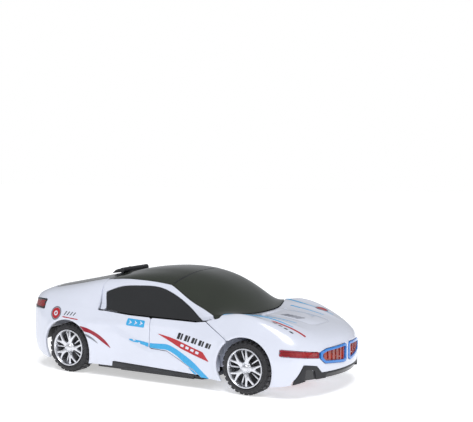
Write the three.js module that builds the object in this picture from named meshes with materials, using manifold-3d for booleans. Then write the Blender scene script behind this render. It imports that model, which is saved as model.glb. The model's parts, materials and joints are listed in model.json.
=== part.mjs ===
// Transforming robot car: a four-wheeled coupe whose front half lifts on two telescoping legs and turns into a
// standing robot. Millimetres, +X forwards, +Y to the car's left, +Z up. The origin is on the ground, under the
// middle of the car. The car is modelled closed, with every joint at zero.
import * as THREE from "three";
import { mergeVertices } from "three/addons/utils/BufferGeometryUtils.js";
import Module from "manifold-3d";

const wasm = await Module();
wasm.setup();

// ---------------------------------------------------------------- driving dimensions
const gap = 0.4; // between neighbouring panels
const clear = 0.3; // between pieces that rest on each other
const wall = 1.6; // body panels
const glassWall = 1.2;
const frameWall = 2.8; // canopy rails
const noseX = 110;
const tailX = -110;
const bodyHalfWidth = 46.3; // at the wheel arches
const roofTopZ = 68;
const halfWidth = bodyHalfWidth - 2.3; // where the plan-view bow of the nose and tail ends

const frontAxleX = 65;
const rearAxleX = -66;
const tyreRadius = 15.8;
const rimRadius = tyreRadius - 4;
const tyreWidth = 10.8;
const wheelFace = bodyHalfWidth - 2.3; // outer face of the rims, from the middle of the car
const archRadius = tyreRadius + 2.6;
const frontTyreLift = 0.3; // the front tyres hang just off the ground
const rearAxleRadius = 1.5;

const beltZ = 40; // bottom of the side windows
const splitX = -3; // door edge, where the moving front meets the fixed rear
const tongueTipX = 35.5; // front end of the fixed side skirt
const canopyRearX = -45;
const canopyPivotZ = roofTopZ - 4;
const canopyInset = 2.4; // side windows stand this far inside the doors

const legPivotX = 22;
const legPivotZ = 26;
const legEndX = 80;
const legHeadX = 50; // past here the legs leave room for the head
const legOuter = 21;
const legInnerWide = 6.5;
const legInnerNarrow = 11.8;
const legBottomZ = 18;
const legTopZ = 31;
const pinRadius = 1.8;
const pinPlay = 0.5; // hole radius minus pin radius
const torsoKneeX = 16;
const torsoTopX = 93;
const torsoFrontZ = 13.5;
const torsoPlate = 2.5;
const torsoBackZ = 31.8;
const hoodPivotX = 88;
const hoodPivotZ = 25;

const headPivotX = 61;
const headPivotZ = 42.4;
const flapHalf = 12;
const flapEndX = 94;

const armRailX = 38;
const armRailLength = 5;
const armRailZ = 33.3;
const armRailHeight = 3.2;
const armRailInner = 8;
const armPlateInner = 30;
const armPlateThick = 2.2;
const hoodPlateInner = 27.4;
const hoodPlateOuter = 29.5;

const floorBottomZ = 5.6;
const floorThick = 2.2;
const turretX = -2;
const turretRadius = 12.5;
const driveWheelRadius = 7;
const driveWheelOffset = 5.5;
const cellRadius = 7.1;
const cellLength = 50;
const cellPitch = 14.5;
const cellFirstX = -54.4;
const cellZ = 16;

// ---------------------------------------------------------------- materials
const finish = (color, roughness, metalness = 0) =>
  new THREE.MeshStandardMaterial({ color, roughness, metalness });
const white = finish(0xe9ecf6, 0.3);
const black = finish(0x24252c, 0.5);
const glass = finish(0x4a5348, 0.15);
const darkGlass = finish(0x22242a, 0.15);
const red = finish(0xb3161d, 0.2);
const blue = finish(0x2f7fe8, 0.25);
const silver = finish(0xc9ccd4, 0.25, 0.8);
const rubber = finish(0x2a2b33, 0.8);
const steel = finish(0xb0b3b8, 0.35, 1);
const clearBlue = finish(0xc4d6e2, 0.15);
const board = finish(0x2c6b3c, 0.6);
const cell = finish(0x3a7a4c, 0.4);

// ---------------------------------------------------------------- solids
function solid(geometry) {
  const g = geometry.index ? geometry.toNonIndexed() : geometry.clone();
  g.deleteAttribute("normal");
  g.deleteAttribute("uv");
  const merged = mergeVertices(g, 1e-4);
  return new wasm.Manifold(
    new wasm.Mesh({
      numProp: 3,
      vertProperties: merged.attributes.position.array,
      triVerts: new Uint32Array(merged.index.array),
    }),
  );
}

function box(x0, x1, y0, y1, z0, z1) {
  const g = new THREE.BoxGeometry(x1 - x0, y1 - y0, z1 - z0);
  g.translate((x0 + x1) / 2, (y0 + y1) / 2, (z0 + z1) / 2);
  return solid(g);
}

// A round bar along Y from y0 to y1.
function barY(x, z, radius, y0, y1, sides = 20) {
  const g = new THREE.CylinderGeometry(radius, radius, y1 - y0, sides);
  g.translate(x, (y0 + y1) / 2, z);
  return solid(g);
}

function barZ(x, y, radius, z0, z1, sides = 20) {
  const g = new THREE.CylinderGeometry(radius, radius, z1 - z0, sides);
  g.rotateX(Math.PI / 2);
  g.translate(x, y, (z0 + z1) / 2);
  return solid(g);
}

function shapeOf(points) {
  return new THREE.Shape(points.map(([a, b]) => new THREE.Vector2(a, b)));
}

// An outline in side view (x, z), extruded from y0 to y1.
function sidePrism(points, y0, y1) {
  const g = new THREE.ExtrudeGeometry(shapeOf(points), { depth: y1 - y0, bevelEnabled: false });
  g.rotateX(Math.PI / 2);
  g.translate(0, y1, 0);
  return solid(g);
}

// An outline in plan view (x, y), extruded from z0 to z1.
function planPrism(points, z0, z1) {
  const g = new THREE.ExtrudeGeometry(shapeOf(points), { depth: z1 - z0, bevelEnabled: false });
  g.translate(0, 0, z0);
  return solid(g);
}

const unite = (...parts) => parts.reduce((a, b) => a.add(b));
const largest = (m) => m.decompose().reduce((a, b) => (a.volume() > b.volume() ? a : b)); // drops cut-off slivers
const mirrorY = (m) => m.mirror([0, 1, 0]);

// ---------------------------------------------------------------- body surface
// Each station holds the half section of the body, from the sill to the centre line, as [y, z].
// bow is how far the section's middle runs ahead of its sides. A crease keeps the tangents on its two sides apart.
const plainStations = [
  { s: -95, bow: -15, k: [[35, 13], [38, 18], [39, 26], [38.5, 34], [36, 41], [29, 46], [15, 47.5], [0, 48]] },
  { s: -88, bow: -13.5, k: [[40, 9], [42, 16], [43.2, 25], [42.5, 35], [39.5, 43.5], [31, 49], [16, 50.5], [0, 51]] },
  { s: -78, bow: -9.5, k: [[43, 7.5], [45, 15], [45.8, 25], [44.8, 35], [41, 43.5], [32, 51], [16.5, 53.3], [0, 54]] },
  { s: -66, bow: -4, k: [[43.5, 7.5], [45.6, 15], [46.3, 25], [45, 35], [41, 43], [32.5, 53.5], [16.5, 56.6], [0, 57.6]] },
  { s: -45, bow: 0, k: [[43, 7.5], [44.6, 14], [45, 23], [43.8, 32.5], [39, 41.5], [32, 57.5], [16.5, 61.6], [0, 62.8]] },
  { s: -20, bow: 0, k: [[42.5, 7.5], [43.6, 13], [43.2, 22], [42.6, 32], [40.6, 40], [30.5, 60], [16.5, 65.8], [0, 67.2]] },
  { s: 5, bow: 0, k: [[42.5, 7.5], [43.4, 13], [42.8, 22], [42.4, 32], [40.8, 40], [30.2, 58.8], [16.5, 66.3], [0, 68]] },
  { s: 22, bow: 4, k: [[42.6, 7.5], [43.5, 13], [43.2, 22], [42.8, 32], [41, 40], [33, 51.5], [17, 62.2], [0, 64.4]] },
  { s: 35, bow: 8, k: [[43, 7.5], [44.1, 13], [44.2, 22], [43.5, 32], [41.6, 41], [37, 46.2], [18, 54.2], [0, 56.2]] },
  { s: 45, bow: 12, crease: true, k: [[43.3, 7], [44.8, 14], [45.2, 23], [44.4, 34], [41, 44], [34, 45.6], [17, 43.6], [0, 43.4]] },
  { s: 56, bow: 12, k: [[43.6, 7], [45.4, 14], [46, 24], [45, 35.5], [40.6, 46], [33, 45.6], [17, 43.3], [0, 43.2]] },
  { s: 66, bow: 12, k: [[43.6, 7], [45.4, 14], [46, 24], [44.6, 35.2], [40, 44.8], [32, 44.2], [16.5, 42.4], [0, 42.2]] },
  { s: 76, bow: 12.5, k: [[43.4, 7], [45, 14], [45.4, 23.5], [43.6, 33.2], [38.5, 41.2], [30, 41.3], [15.5, 40.4], [0, 40.4]] },
  { s: 86, bow: 13.5, k: [[42, 7.5], [43.6, 14], [43.6, 22.5], [41.5, 30.5], [36, 36], [27.5, 37.2], [14.5, 37.2], [0, 37.2]] },
  { s: 92, bow: 14.6, k: [[39.5, 9], [41, 14.5], [41, 21.5], [39, 27.5], [33.5, 31.5], [25.5, 33], [13.5, 33.5], [0, 33.6]] },
  { s: 95, bow: 15, k: [[36.5, 10.5], [38, 15], [38, 20.5], [36, 25], [31, 28], [24, 29.2], [12.5, 29.6], [0, 29.8]] },
];
const endReach = 29; // from the axle stations, where the nose and tail may be stretched, to the end stations
const endStation = 66;
const endBow = 15;
const noseStretch = (noseX - endStation - endBow) / endReach;
const tailStretch = (-tailX - endStation - endBow) / endReach;
const widen = bodyHalfWidth / 46.3;
const raise = (z) => (z > beltZ + 1 ? beltZ + 1 + ((z - beltZ - 1) * (roofTopZ - beltZ - 1)) / 27 : z);

function stretched(s) {
  if (s > endStation) return endStation + (s - endStation) * noseStretch;
  if (s < -endStation) return -endStation + (s + endStation) * tailStretch;
  return s;
}

const stations = plainStations.map((r) => ({
  ...r,
  s: stretched(r.s),
  k: r.k.map(([y, z]) => [y * widen, r.s > -80 && r.s < 40 ? raise(z) : z]),
}));
const beltIndex = 4; // the point of each section that runs along the bottom of the windows

// Cubic through (xs, ys) at x, with a corner wherever sharp(i) says so.
function cubicAt(xs, ys, x, sharp = () => false) {
  let i = 0;
  while (i < xs.length - 2 && x > xs[i + 1]) i++;
  const slope = (a, b) => (ys[b] - ys[a]) / (xs[b] - xs[a]);
  const before = i > 0 && !sharp(i) ? slope(i - 1, i + 1) : slope(i, i + 1);
  const after = i < xs.length - 2 && !sharp(i + 1) ? slope(i, i + 2) : slope(i, i + 1);
  const h = xs[i + 1] - xs[i];
  const t = (x - xs[i]) / h;
  return (
    (2 * t ** 3 - 3 * t ** 2 + 1) * ys[i] +
    (t ** 3 - 2 * t ** 2 + t) * h * before +
    (3 * t ** 2 - 2 * t ** 3) * ys[i + 1] +
    (t ** 3 - t ** 2) * h * after
  );
}

const stationS = stations.map((r) => r.s);
const creased = (i) => Boolean(stations[i].crease);
const atStation = (pick, s) => cubicAt(stationS, stations.map(pick), s, creased);
const bowAt = (s) => atStation((r) => r.bow, s);
const sectionSteps = stations[0].k.length - 1;

// The section's [y, z] at station s and u, from 0 at the sill to sectionSteps at the centre line.
function sectionPoint(s, u, tuck = 0) {
  const ys = stations[0].k.map((_, i) => atStation((r) => r.k[i][0], s));
  ys[beltIndex] -= tuck;
  const zs = stations[0].k.map((_, i) => atStation((r) => r.k[i][1], s));
  ys.push(-ys[sectionSteps - 1]); // the other side's first point makes the middle level
  zs.push(zs[sectionSteps - 1]);
  const at = ys.map((_, i) => i);
  return [Math.max(0, cubicAt(at, ys, u)), cubicAt(at, zs, u)];
}

const bowedX = (s, y) => s + bowAt(s) * (1 - (y / halfWidth) ** 2);
const loftStations = [
  -88, -78, -66, -55, -45, -32, -18, -5, 5, 14, 22, 29, 35, 40, 45, 51, 58, 66, 74, 81, 86, 89.5, 92.5,
].map(stretched);
const innerStations = [-88, -78, -55, -32, -5, 14, 29, 40, 45, 51, 66, 81, 86, 89.5, 92.5].map(stretched);
const loftSteps = [0, 1, 2, 3, 3.5, 4, 4.5, 5, 5.5, 6, 6.5, 7]; // places round the half section

// The section walls moved in by inset, as [y, z] points from the sill to the centre line. tuck narrows the belt.
function halfSection(s, inset, tuck) {
  const half = [];
  for (const u of loftSteps) {
    const [y, z] = sectionPoint(s, u, tuck);
    const [ya, za] = sectionPoint(s, Math.max(0, u - 0.05), tuck);
    const [yb, zb] = sectionPoint(s, Math.min(sectionSteps, u + 0.05), tuck);
    const length = Math.hypot(yb - ya, zb - za);
    const ny = (zb - za) / length;
    const nz = -(yb - ya) / length;
    half.push([u === sectionSteps ? 0 : y - inset * ny, z - inset * nz]);
  }
  return half;
}

// A closed loft of the body, every wall moved in by inset. belly lowers its underside, which opens a shell.
function bodyLoft({ inset = 0, belly = 0, tuck = 0, list = loftStations }) {
  const first = stationS[0] + inset;
  const last = stationS[stationS.length - 1] - inset;
  const rows = [first, ...list.filter((s) => s > first && s < last), last].map((s) => {
    const half = halfSection(s, inset, tuck);
    half[0] = [half[0][0], half[0][1] - belly];
    return { s, half };
  });
  const across = 4;
  const triangles = [];
  const quad = (a, b, c, d) => triangles.push(a, b, c, a, c, d);
  const loops = rows.map(({ s, half }) => {
    const loop = half.map(([y, z]) => [bowedX(s, y), y, z]);
    half.slice(0, -1).reverse().forEach(([y, z]) => loop.push([bowedX(s, y), -y, z]));
    const [y0, z0] = half[0];
    for (let j = 1; j < across; j++) {
      const y = -y0 + (2 * y0 * j) / across;
      loop.push([bowedX(s, y), y, z0]);
    }
    return loop;
  });
  const n = loops[0].length;
  for (let i = 0; i + 1 < loops.length; i++)
    for (let j = 0; j < n; j++) {
      const k = (j + 1) % n;
      quad(loops[i][j], loops[i][k], loops[i + 1][k], loops[i + 1][j]);
    }
  endCap(rows[0], across, triangles, true);
  endCap(rows[rows.length - 1], across, triangles, false);
  const g = new THREE.BufferGeometry();
  g.setAttribute("position", new THREE.Float32BufferAttribute(triangles.flat(), 3));
  return solid(g);
}

// The bowed face that closes one end of the loft, added to triangles.
function endCap({ s, half }, across, triangles, turned) {
  const at = ([y, z], j) => {
    const side = -y + (2 * y * j) / across;
    return [bowedX(s, side), side, z];
  };
  for (let i = 0; i + 1 < half.length; i++)
    for (let j = 0; j < across; j++) {
      const [a, b] = [at(half[i], j), at(half[i], j + 1)];
      const [c, d] = [at(half[i + 1], j + 1), at(half[i + 1], j)];
      const pointed = half[i + 1][0] === 0;
      if (turned) triangles.push(d, b, a);
      else triangles.push(a, b, d);
      if (pointed) continue;
      if (turned) triangles.push(d, c, b);
      else triangles.push(b, c, d);
    }
}

// ---------------------------------------------------------------- more solids
// An outline seen from the front (y, z), extruded from x0 to x1.
function frontPrism(points, x0, x1) {
  const g = new THREE.ExtrudeGeometry(shapeOf(points), { depth: x1 - x0, bevelEnabled: false });
  g.rotateX(Math.PI / 2);
  g.rotateZ(Math.PI / 2);
  g.translate(x0, 0, 0);
  return solid(g);
}

function tubeY(x, z, outer, inner, y0, y1, sides = 20) {
  return barY(x, z, outer, y0, y1, sides).subtract(barY(x, z, inner, y0 - 1, y1 + 1, sides));
}

// Moves an outline by dx, dz.
const shifted = (points, dx, dz) => points.map(([a, b]) => [a + dx, b + dz]);
const both = (m) => m.add(mirrorY(m));
const leftHalf = box(-200, 200, 0, 100, -50, 200);

// ---------------------------------------------------------------- panel borders
const far = 200;
const lampFront = noseX - 15; // the front lamps and grilles are cut from the skin ahead of these
const headlampFront = noseX - 28;
const splitterFront = noseX - 22;
const tailLampFront = tailX + 23.5; // and the rear ones behind these
const diffuserFront = tailX + 19;
const beltLine = [
  [canopyRearX, 41.5], [-20, beltZ + 0.2], [5, beltZ], [30, beltZ], [37, beltZ + 1], [45, beltZ + 4.2],
];
const diagonal = [[37, beltZ + 1], [frontAxleX - 10.6, 31.4]];
const swoosh = [[splitX, 21.4], [10, 20.8], [21, 15.8], [30, 11.2], [tongueTipX, 6.5]];
const sillLine = [[-32, 6], [-30.5, 10.6], [tongueTipX - 4, 8.4], [tongueTipX - 0.5, 6]];

// The windscreen's lower edge in plan, moved forwards by ahead.
function cowlLine(ahead) {
  const line = [];
  for (let y = -48; y <= 48; y += 6) line.push([bowedX(45, y) + ahead, y]);
  return line;
}

const behindCowl = (ahead) => planPrism([[-far, -48], ...cowlLine(ahead), [-far, 48]], -far, far);
const aboveBelt = (drop) =>
  sidePrism(
    [
      ...shifted(beltLine, 0, -drop),
      [58, beltZ + 1.5 - drop],
      [58, far],
      [canopyRearX - drop, far],
      [canopyRearX - drop, 41.5 - drop],
    ],
    -60,
    60,
  );
// Here the canopy reaches lower than the belt.
const underScreen = box(30, 60, -35, 35, 36, 60).add(box(40, 60, -41.5, 41.5, 41, 60));
const canopyZone = aboveBelt(-gap / 2).add(underScreen).intersect(behindCowl(-gap / 2));
const canopyCut = aboveBelt(gap / 2).add(underScreen).intersect(behindCowl(gap / 2));
const doorOutline = [
  [splitX + gap / 2, swoosh[0][1] + gap / 2],
  ...shifted(swoosh.slice(1), 0, gap / 2),
  [tongueTipX + 1, 0],
  [frontAxleX, 0],
  [frontAxleX, 20],
  ...shifted(diagonal, -gap / 2, -gap / 2).reverse(),
  ...shifted(beltLine.slice(2, 4), 0, -gap / 2).reverse(),
  [splitX + gap / 2, beltZ - gap / 2],
];
const baseOutline = [
  [-far, -10],
  [tongueTipX, -10],
  ...shifted(swoosh, 0, -gap / 2).reverse(),
  [splitX - gap / 2, swoosh[0][1] - gap / 2],
  [splitX - gap / 2, beltZ - gap / 2],
  [-20, beltZ + 0.2 - gap / 2],
  [canopyRearX - gap / 2, 41.5 - gap / 2],
  [canopyRearX - gap / 2, far],
  [-far, far],
];
const hoodOutline = [
  [diagonal[0][0] + gap / 2, diagonal[0][1] + gap / 2],
  [diagonal[1][0] + gap / 2, diagonal[1][1] + gap / 2],
  [frontAxleX, 20],
  [frontAxleX + 20, -10],
  [far, -10],
  [far, far],
  [diagonal[0][0] + gap / 2, far],
];

// ---------------------------------------------------------------- outer skin
const outer = bodyLoft({});
const skin = outer.subtract(bodyLoft({ inset: wall, belly: 8, list: innerStations }));
const arch = (x, z) => both(barY(x, z, archRadius, 30, 60, 28));
const rearArch = arch(rearAxleX, tyreRadius);
const frontAxleZ = tyreRadius + frontTyreLift;
const frontArch = arch(frontAxleX, frontAxleZ);

const rearGlassOutline = [[-49, -26], [-49, 26], [-91, 25], [-96.5, 15], [-98, 0], [-96.5, -15], [-91, -25]];

// An outline with every edge moved inwards by by.
function shrink(points, by) {
  const n = points.length;
  const area = points.reduce((a, [x, y], i) => a + x * points[(i + 1) % n][1] - points[(i + 1) % n][0] * y, 0);
  const turn = Math.sign(area) * by;
  const edges = points.map(([x, y], i) => {
    const [nx, ny] = points[(i + 1) % n];
    const length = Math.hypot(nx - x, ny - y);
    const [dx, dy] = [(nx - x) / length, (ny - y) / length];
    return [x - dy * turn, y + dx * turn, dx, dy];
  });
  return edges.map(([x, y, dx, dy], i) => {
    const [px, py, ex, ey] = edges[(i + n - 1) % n];
    const t = ((x - px) * dy - (y - py) * dx) / (ex * dy - ey * dx);
    return [px + ex * t, py + ey * t];
  });
}
const rearGlassHole = planPrism(rearGlassOutline, 40, 90);
const lampOuter = bodyHalfWidth;
const tailLampOutline = [[20, 40], [20, 43.4], [lampOuter, 46.5], [lampOuter, 39]];
const tailLampZone = frontPrism(tailLampOutline, -far, tailLampFront);
const diffuserOutline = [[-30, -9], [30, -9], [26, 21], [-26, 21]];
const diffuserZone = frontPrism(diffuserOutline, -far, diffuserFront);
const sill = sidePrism(sillLine, -60, 60);
const sillCut = sidePrism(shifted(sillLine, 0, gap), -60, 60);

const rearShell = skin
  .intersect(sidePrism(baseOutline, -60, 60))
  .subtract(rearArch)
  .subtract(rearGlassHole)
  .subtract(both(tailLampZone))
  .subtract(diffuserZone)
  .subtract(sillCut)
  .subtract(barY(canopyRearX, canopyPivotZ, 2.5, -14.6, 14.6));
const rearWindow = outer
  .subtract(bodyLoft({ inset: glassWall, list: innerStations }))
  .intersect(planPrism(shrink(rearGlassOutline, clear), 40, 90));
const tailLamp = skin.intersect(frontPrism(shrink(tailLampOutline, clear), -far, tailLampFront - clear)).intersect(leftHalf);
const diffuser = skin.intersect(frontPrism(shrink(diffuserOutline, clear), -far, diffuserFront - clear));

// ---------------------------------------------------------------- doors
const door = skin.intersect(sidePrism(doorOutline, -60, 60)).subtract(frontArch).intersect(leftHalf);

// ---------------------------------------------------------------- hood
const noseLampOutline = [[3, 20], [3, 27.5], [5, 28.8], [20, 28], [22.5, 26.5], [22.5, 21.5], [20, 19.6], [5, 18.6]];
const headlampOutline = [[25, 22.8], [25, 26.8], [lampOuter + 0.7, 29.6], [lampOuter + 0.7, 25.6]];
const splitterOutline = [
  [-40, 0], [40, 0], [40.2, 11], [36.5, 20.5], [28, 19], [24.5, 14.8], [-24.5, 14.8], [-28, 19], [-36.5, 20.5], [-40.2, 11],
];
const flapOutline = [
  [headPivotX - 0.4, -flapHalf],
  [flapEndX - 3, -flapHalf],
  [flapEndX, -flapHalf + 4],
  [flapEndX, flapHalf - 4],
  [flapEndX - 3, flapHalf],
  [headPivotX - 0.4, flapHalf],
];
const headBarrel = 1.5;
const headPinRadius = 0.8;
const flapHole = planPrism(flapOutline, 20, 60).add(barY(headPivotX, headPivotZ, headBarrel + 0.5, -flapHalf, flapHalf));
const hoodEars = both(barY(headPivotX, headPivotZ, headBarrel, flapHalf - 0.1, flapHalf + 3, 12));
const hoodShell = skin
  .intersect(sidePrism(hoodOutline, -60, 60))
  .subtract(canopyCut)
  .subtract(frontArch)
  .subtract(frontPrism(splitterOutline, splitterFront, far))
  .subtract(both(frontPrism(noseLampOutline, lampFront, far)))
  .subtract(both(frontPrism(headlampOutline, headlampFront, far)))
  .subtract(flapHole)
  .add(hoodEars.intersect(box(0, 100, -60, 60, 0, 60)))
  .subtract(barY(headPivotX, headPivotZ, headPinRadius + clear, -flapHalf - 2, flapHalf + 2, 12));
const splitter = skin.intersect(frontPrism(shrink(splitterOutline, clear), splitterFront + clear, far));
const noseLamp = skin.intersect(frontPrism(shrink(noseLampOutline, clear), lampFront, far));
const headlamp = skin.intersect(frontPrism(shrink(headlampOutline, clear), headlampFront + clear, far)).intersect(leftHalf);

// ---------------------------------------------------------------- head
const flapSkin = skin
  .intersect(planPrism(shrink(flapOutline, clear), 30, 60))
  .subtract(box(0, headPivotX + headBarrel, -60, 60, 0, 60));
const neck = box(headPivotX + 1, headPivotX + 7, -5, 5, 38, 42);
const headFlap = unite(
  flapSkin,
  barY(headPivotX, headPivotZ, headBarrel, -flapHalf + clear, flapHalf - clear, 12),
  box(headPivotX, headPivotX + 3, -flapHalf + clear, flapHalf - clear, 40.8, 42.4),
  neck,
).subtract(barY(headPivotX, headPivotZ, headPinRadius + clear, -20, 20, 12));
const helmetOutline = [[63.5, 37.6], [80.5, 39], [83, 36], [82.6, 30], [80, 27.5], [63.5, 29]];
const helmet = sidePrism(helmetOutline, -8, 8);
const faceOutline = [[64.5, 28.6], [79.5, 27.1], [78, 24.8], [72, 24], [66, 25]];
const faceMask = sidePrism(faceOutline, -6, 6);

// ---------------------------------------------------------------- canopy
const canopyStations = loftStations.filter((s) => s > -60 && s < 60);
const canopyInnerStations = innerStations.filter((s) => s > -60 && s < 60);
const canopyLoft = (inset, list) => bodyLoft({ inset, tuck: canopyInset, list });
const canopyOuter = canopyLoft(0, canopyStations);
const canopyGlassInner = canopyLoft(glassWall, canopyInnerStations);
const canopyRingOuter = canopyLoft(glassWall + 2 * clear, canopyInnerStations);
const canopyInner = canopyLoft(frameWall, canopyInnerStations);
const flange = 3.5;
const headerX = canopyRearX + 4;
const roofHalf = [[headerX, 29], [-20, 29.6], [5, 29.8], [25, 34.4], [38, 38], [46, 40]];

// The roof glass in plan, moved in by inset.
function roofOutline(inset) {
  const side = roofHalf.map(([x, y]) => [x + (x === headerX ? inset : 0), y - inset]);
  const front = cowlLine(-gap / 2 - inset).filter(([, y]) => Math.abs(y) < 39 - inset);
  return [...side.map(([x, y]) => [x, -y]), ...front, ...side.reverse()];
}
const windowTop = [
  [-41, 41], [-42.4, 52.5], [-31, 56.6], [-19.5, 57.8], [-3, 57.8], [8, 54.8], [25, 46.4], [35, 39.8],
].map(([x, z]) => [x, raise(z)]);
const windowOutline = [...windowTop, [35, 30], [-41, 30]];
const roofCut = (inset) => planPrism(roofOutline(inset), 42, 90);
const windowCut = (inset) => sidePrism(shrink(windowOutline, inset), -60, 60).intersect(both(box(-far, far, 26, 60, 0, 60)));
const roofBarrel = 2;
const roofPinRadius = 1;
const rails = canopyOuter.subtract(canopyInner).intersect(canopyZone).subtract(roofCut(0)).subtract(windowCut(0));
const ring = canopyRingOuter
  .subtract(canopyInner)
  .intersect(canopyZone)
  .subtract(roofCut(flange))
  .subtract(windowCut(flange));
const canopyKnuckle = unite(
  barY(canopyRearX, canopyPivotZ, roofBarrel, -8, 8, 14),
  box(canopyRearX, headerX, -8, 8, canopyPivotZ - 3.5, canopyPivotZ - 0.5),
);
const canopyFrame = unite(rails, ring)
  .subtract(barY(canopyRearX, canopyPivotZ, roofBarrel + 0.5, -14.6, 14.6))
  .add(canopyKnuckle)
  .subtract(barY(canopyRearX, canopyPivotZ, roofPinRadius + clear, -20, 20, 14));
const canopyGlass = canopyOuter.subtract(canopyGlassInner).intersect(canopyZone);
const roofGlass = canopyGlass.intersect(roofCut(clear));
const sideWindow = canopyGlass.intersect(windowCut(clear)).intersect(leftHalf);
const hingeBaseZ = canopyPivotZ - 0.6;
const hingeTopZ = canopyPivotZ + 1;
const fin = sidePrism([[-57, hingeBaseZ], [-50, hingeBaseZ], [-48.6, hingeTopZ + 1.6], [-51, hingeTopZ + 1.4]], -1, 1);
const roofHinge = unite(
  both(barY(canopyRearX, canopyPivotZ, roofBarrel, 8.4, 14, 14)),
  box(-51, canopyRearX - 1.2, 8.4, 14, hingeBaseZ, hingeTopZ),
  box(-51, canopyRearX - 1.2, -14, -8.4, hingeBaseZ, hingeTopZ),
  box(-51, canopyRearX - 2.6, -14, 14, hingeBaseZ, hingeTopZ),
  fin,
).subtract(barY(canopyRearX, canopyPivotZ, roofPinRadius + clear, -20, 20, 14));

// ---------------------------------------------------------------- legs and torso
const legs = (() => {
  const beam = unite(
    box(legPivotX, legHeadX, legInnerWide, legOuter, legBottomZ, legTopZ),
    box(legHeadX - 1, legEndX, legInnerNarrow, legOuter, legBottomZ, legTopZ),
    barY(legPivotX, legPivotZ, legPivotZ - legBottomZ, legInnerWide, legOuter, 20),
  );
  return beam.subtract(barY(legPivotX, legPivotZ, pinRadius + pinPlay, 0, 40, 16));
})();
const torsoInner = legOuter + gap;
const torsoOuter = torsoInner + 2.6;
const frontPlate = box(torsoKneeX, torsoTopX, -torsoOuter, torsoOuter, torsoFrontZ, torsoFrontZ + torsoPlate);
const torsoWalls = both(box(torsoKneeX, torsoTopX, torsoInner, torsoOuter, torsoFrontZ, torsoBackZ));
const chestPod = both(
  planPrism([[60, 23], [66, 26.4], [90, 26.4], [93, 23]], torsoFrontZ - 0.8, 27),
);
const hipPod = both(planPrism([[38.8, 23], [41, 26], [50, 26], [54, 23]], torsoFrontZ, 26));
const torsoLugs = both(box(legEndX + 2, torsoTopX, 14, torsoInner + 1, torsoFrontZ + 1, torsoBackZ));
const pinNotch = both(
  box(torsoKneeX - 1, legPivotX + pinRadius + pinPlay, 20, 40, legPivotZ - pinRadius - 0.6, legPivotZ + pinRadius + 0.6),
);
const torsoShell = unite(frontPlate, torsoWalls, chestPod, hipPod, torsoLugs)
  .subtract(barY(hoodPivotX, hoodPivotZ, pinRadius + pinPlay, -40, 40, 16))
  .subtract(pinNotch);
const lensTop = torsoFrontZ - clear;
const chestLens = planPrism([[58, -7], [64, -15], [76, -15], [84, -9], [84, 9], [76, 15], [64, 15], [58, 7]], 10.4, lensTop - 0.8)
  .intersect(box(0, 100, -60, 60, 0, lensTop - 0.8));
const waistBelt = box(49, 54.5, -20, 20, 11.6, lensTop);
const kneeLens = planPrism([[17.5, 8], [19, 5], [28, 6], [31, 10], [28, 19], [19, 20]], 11.2, lensTop);

// ---------------------------------------------------------------- hood frame and arms
const railLow = armRailZ;
const railTop = armRailZ + armRailHeight;
const railEnd = armRailX + armRailLength;
const hoodFrame = unite(
  box(armRailX - 1.4, railEnd + 1.6, -hoodPlateOuter, hoodPlateOuter, railLow - 1.1, railTop + 1.2),
  both(sidePrism([[42, 32.2], [50, 30], [58, 23.2], [82, 19], [92, 19], [92, 31], [78, 34], [52, 37.7], [42, 37.7]], hoodPlateInner, hoodPlateOuter)),
)
  .subtract(box(armRailX - clear, railEnd + clear, -40, 40, railLow - clear, railTop + clear))
  .subtract(barY(hoodPivotX, hoodPivotZ, pinRadius + clear, -40, 40, 16));
const armPlateOutline = [[37.5, 20], [37.5, 36.4], [43, 36.4], [50, 32], [58, 30], [70, 24], [74, 16], [68, 9.5], [58, 10.5], [46, 19]];
const armPlateOuter = armPlateInner + armPlateThick;
const forearm = unite(
  sidePrism(armPlateOutline, armPlateInner, armPlateOuter),
  box(armRailX, railEnd, armRailInner, armPlateInner + 1, railLow, railTop),
  box(37.5, 44, armPlateInner + 1, halfWidth - 3, 21, 34),
  barY(frontAxleX, frontAxleZ, 2, armPlateInner + 1, wheelFace - 3.3, 16),
  box(46.5, 59.5, 26.9, armPlateInner + 1, 11, 21.5),
).subtract(unite(...[13.2, 15.8, 18.4].map((z) => box(46, 52.5, 26, 27.9, z, z + 0.8))));

// ---------------------------------------------------------------- chassis
const floorTop = floorBottomZ + floorThick;
const floorOutline = [
  [-92, -30], [-86, -30], [-86, -29.5], [-46, -29.5], [-44, -40.6], [34, -40.6], [37, -36], [37, 36], [34, 40.6], [-44, 40.6],
  [-46, 29.5], [-86, 29.5], [-86, 30], [-92, 30],
];
const trayEnd = cellLength / 2 + 0.8;
const trayX0 = cellFirstX - cellPitch / 2 - 0.3;
const trayX1 = cellFirstX + cellPitch * 2.5 + 0.3;
const switchX = -82;
const sillShell = skin.intersect(sill).add(both(box(-25, 29, 36, halfWidth - 1.8, floorBottomZ, floorTop + 0.4)));
const bearings = both(box(rearAxleX - 4, rearAxleX + 4, 25.5, 28.5, floorTop - 1, 20));
const tray = box(trayX0 - 1.2, trayX1 + 1.2, -trayEnd - 1.2, trayEnd + 1.2, floorTop - 1, 19).subtract(
  box(trayX0, trayX1, -trayEnd, trayEnd, 0, 40),
);
const chassis = unite(planPrism(floorOutline, floorBottomZ, floorTop), tray, bearings, sillShell)
  .subtract(box(trayX0, trayX1, -trayEnd, trayEnd, 0, floorTop + 0.1))
  .subtract(barZ(turretX, 0, turretRadius + gap, 0, 20, 28))
  .subtract(barY(rearAxleX, tyreRadius, rearAxleRadius + pinPlay, -40, 40, 16))
  .subtract(box(switchX - 4, switchX + 4, -7, 7, 0, 20));
const batteryCover = box(trayX0 + gap, trayX1 - gap, -trayEnd + gap, trayEnd - gap, floorBottomZ, floorTop - 0.2);
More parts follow.
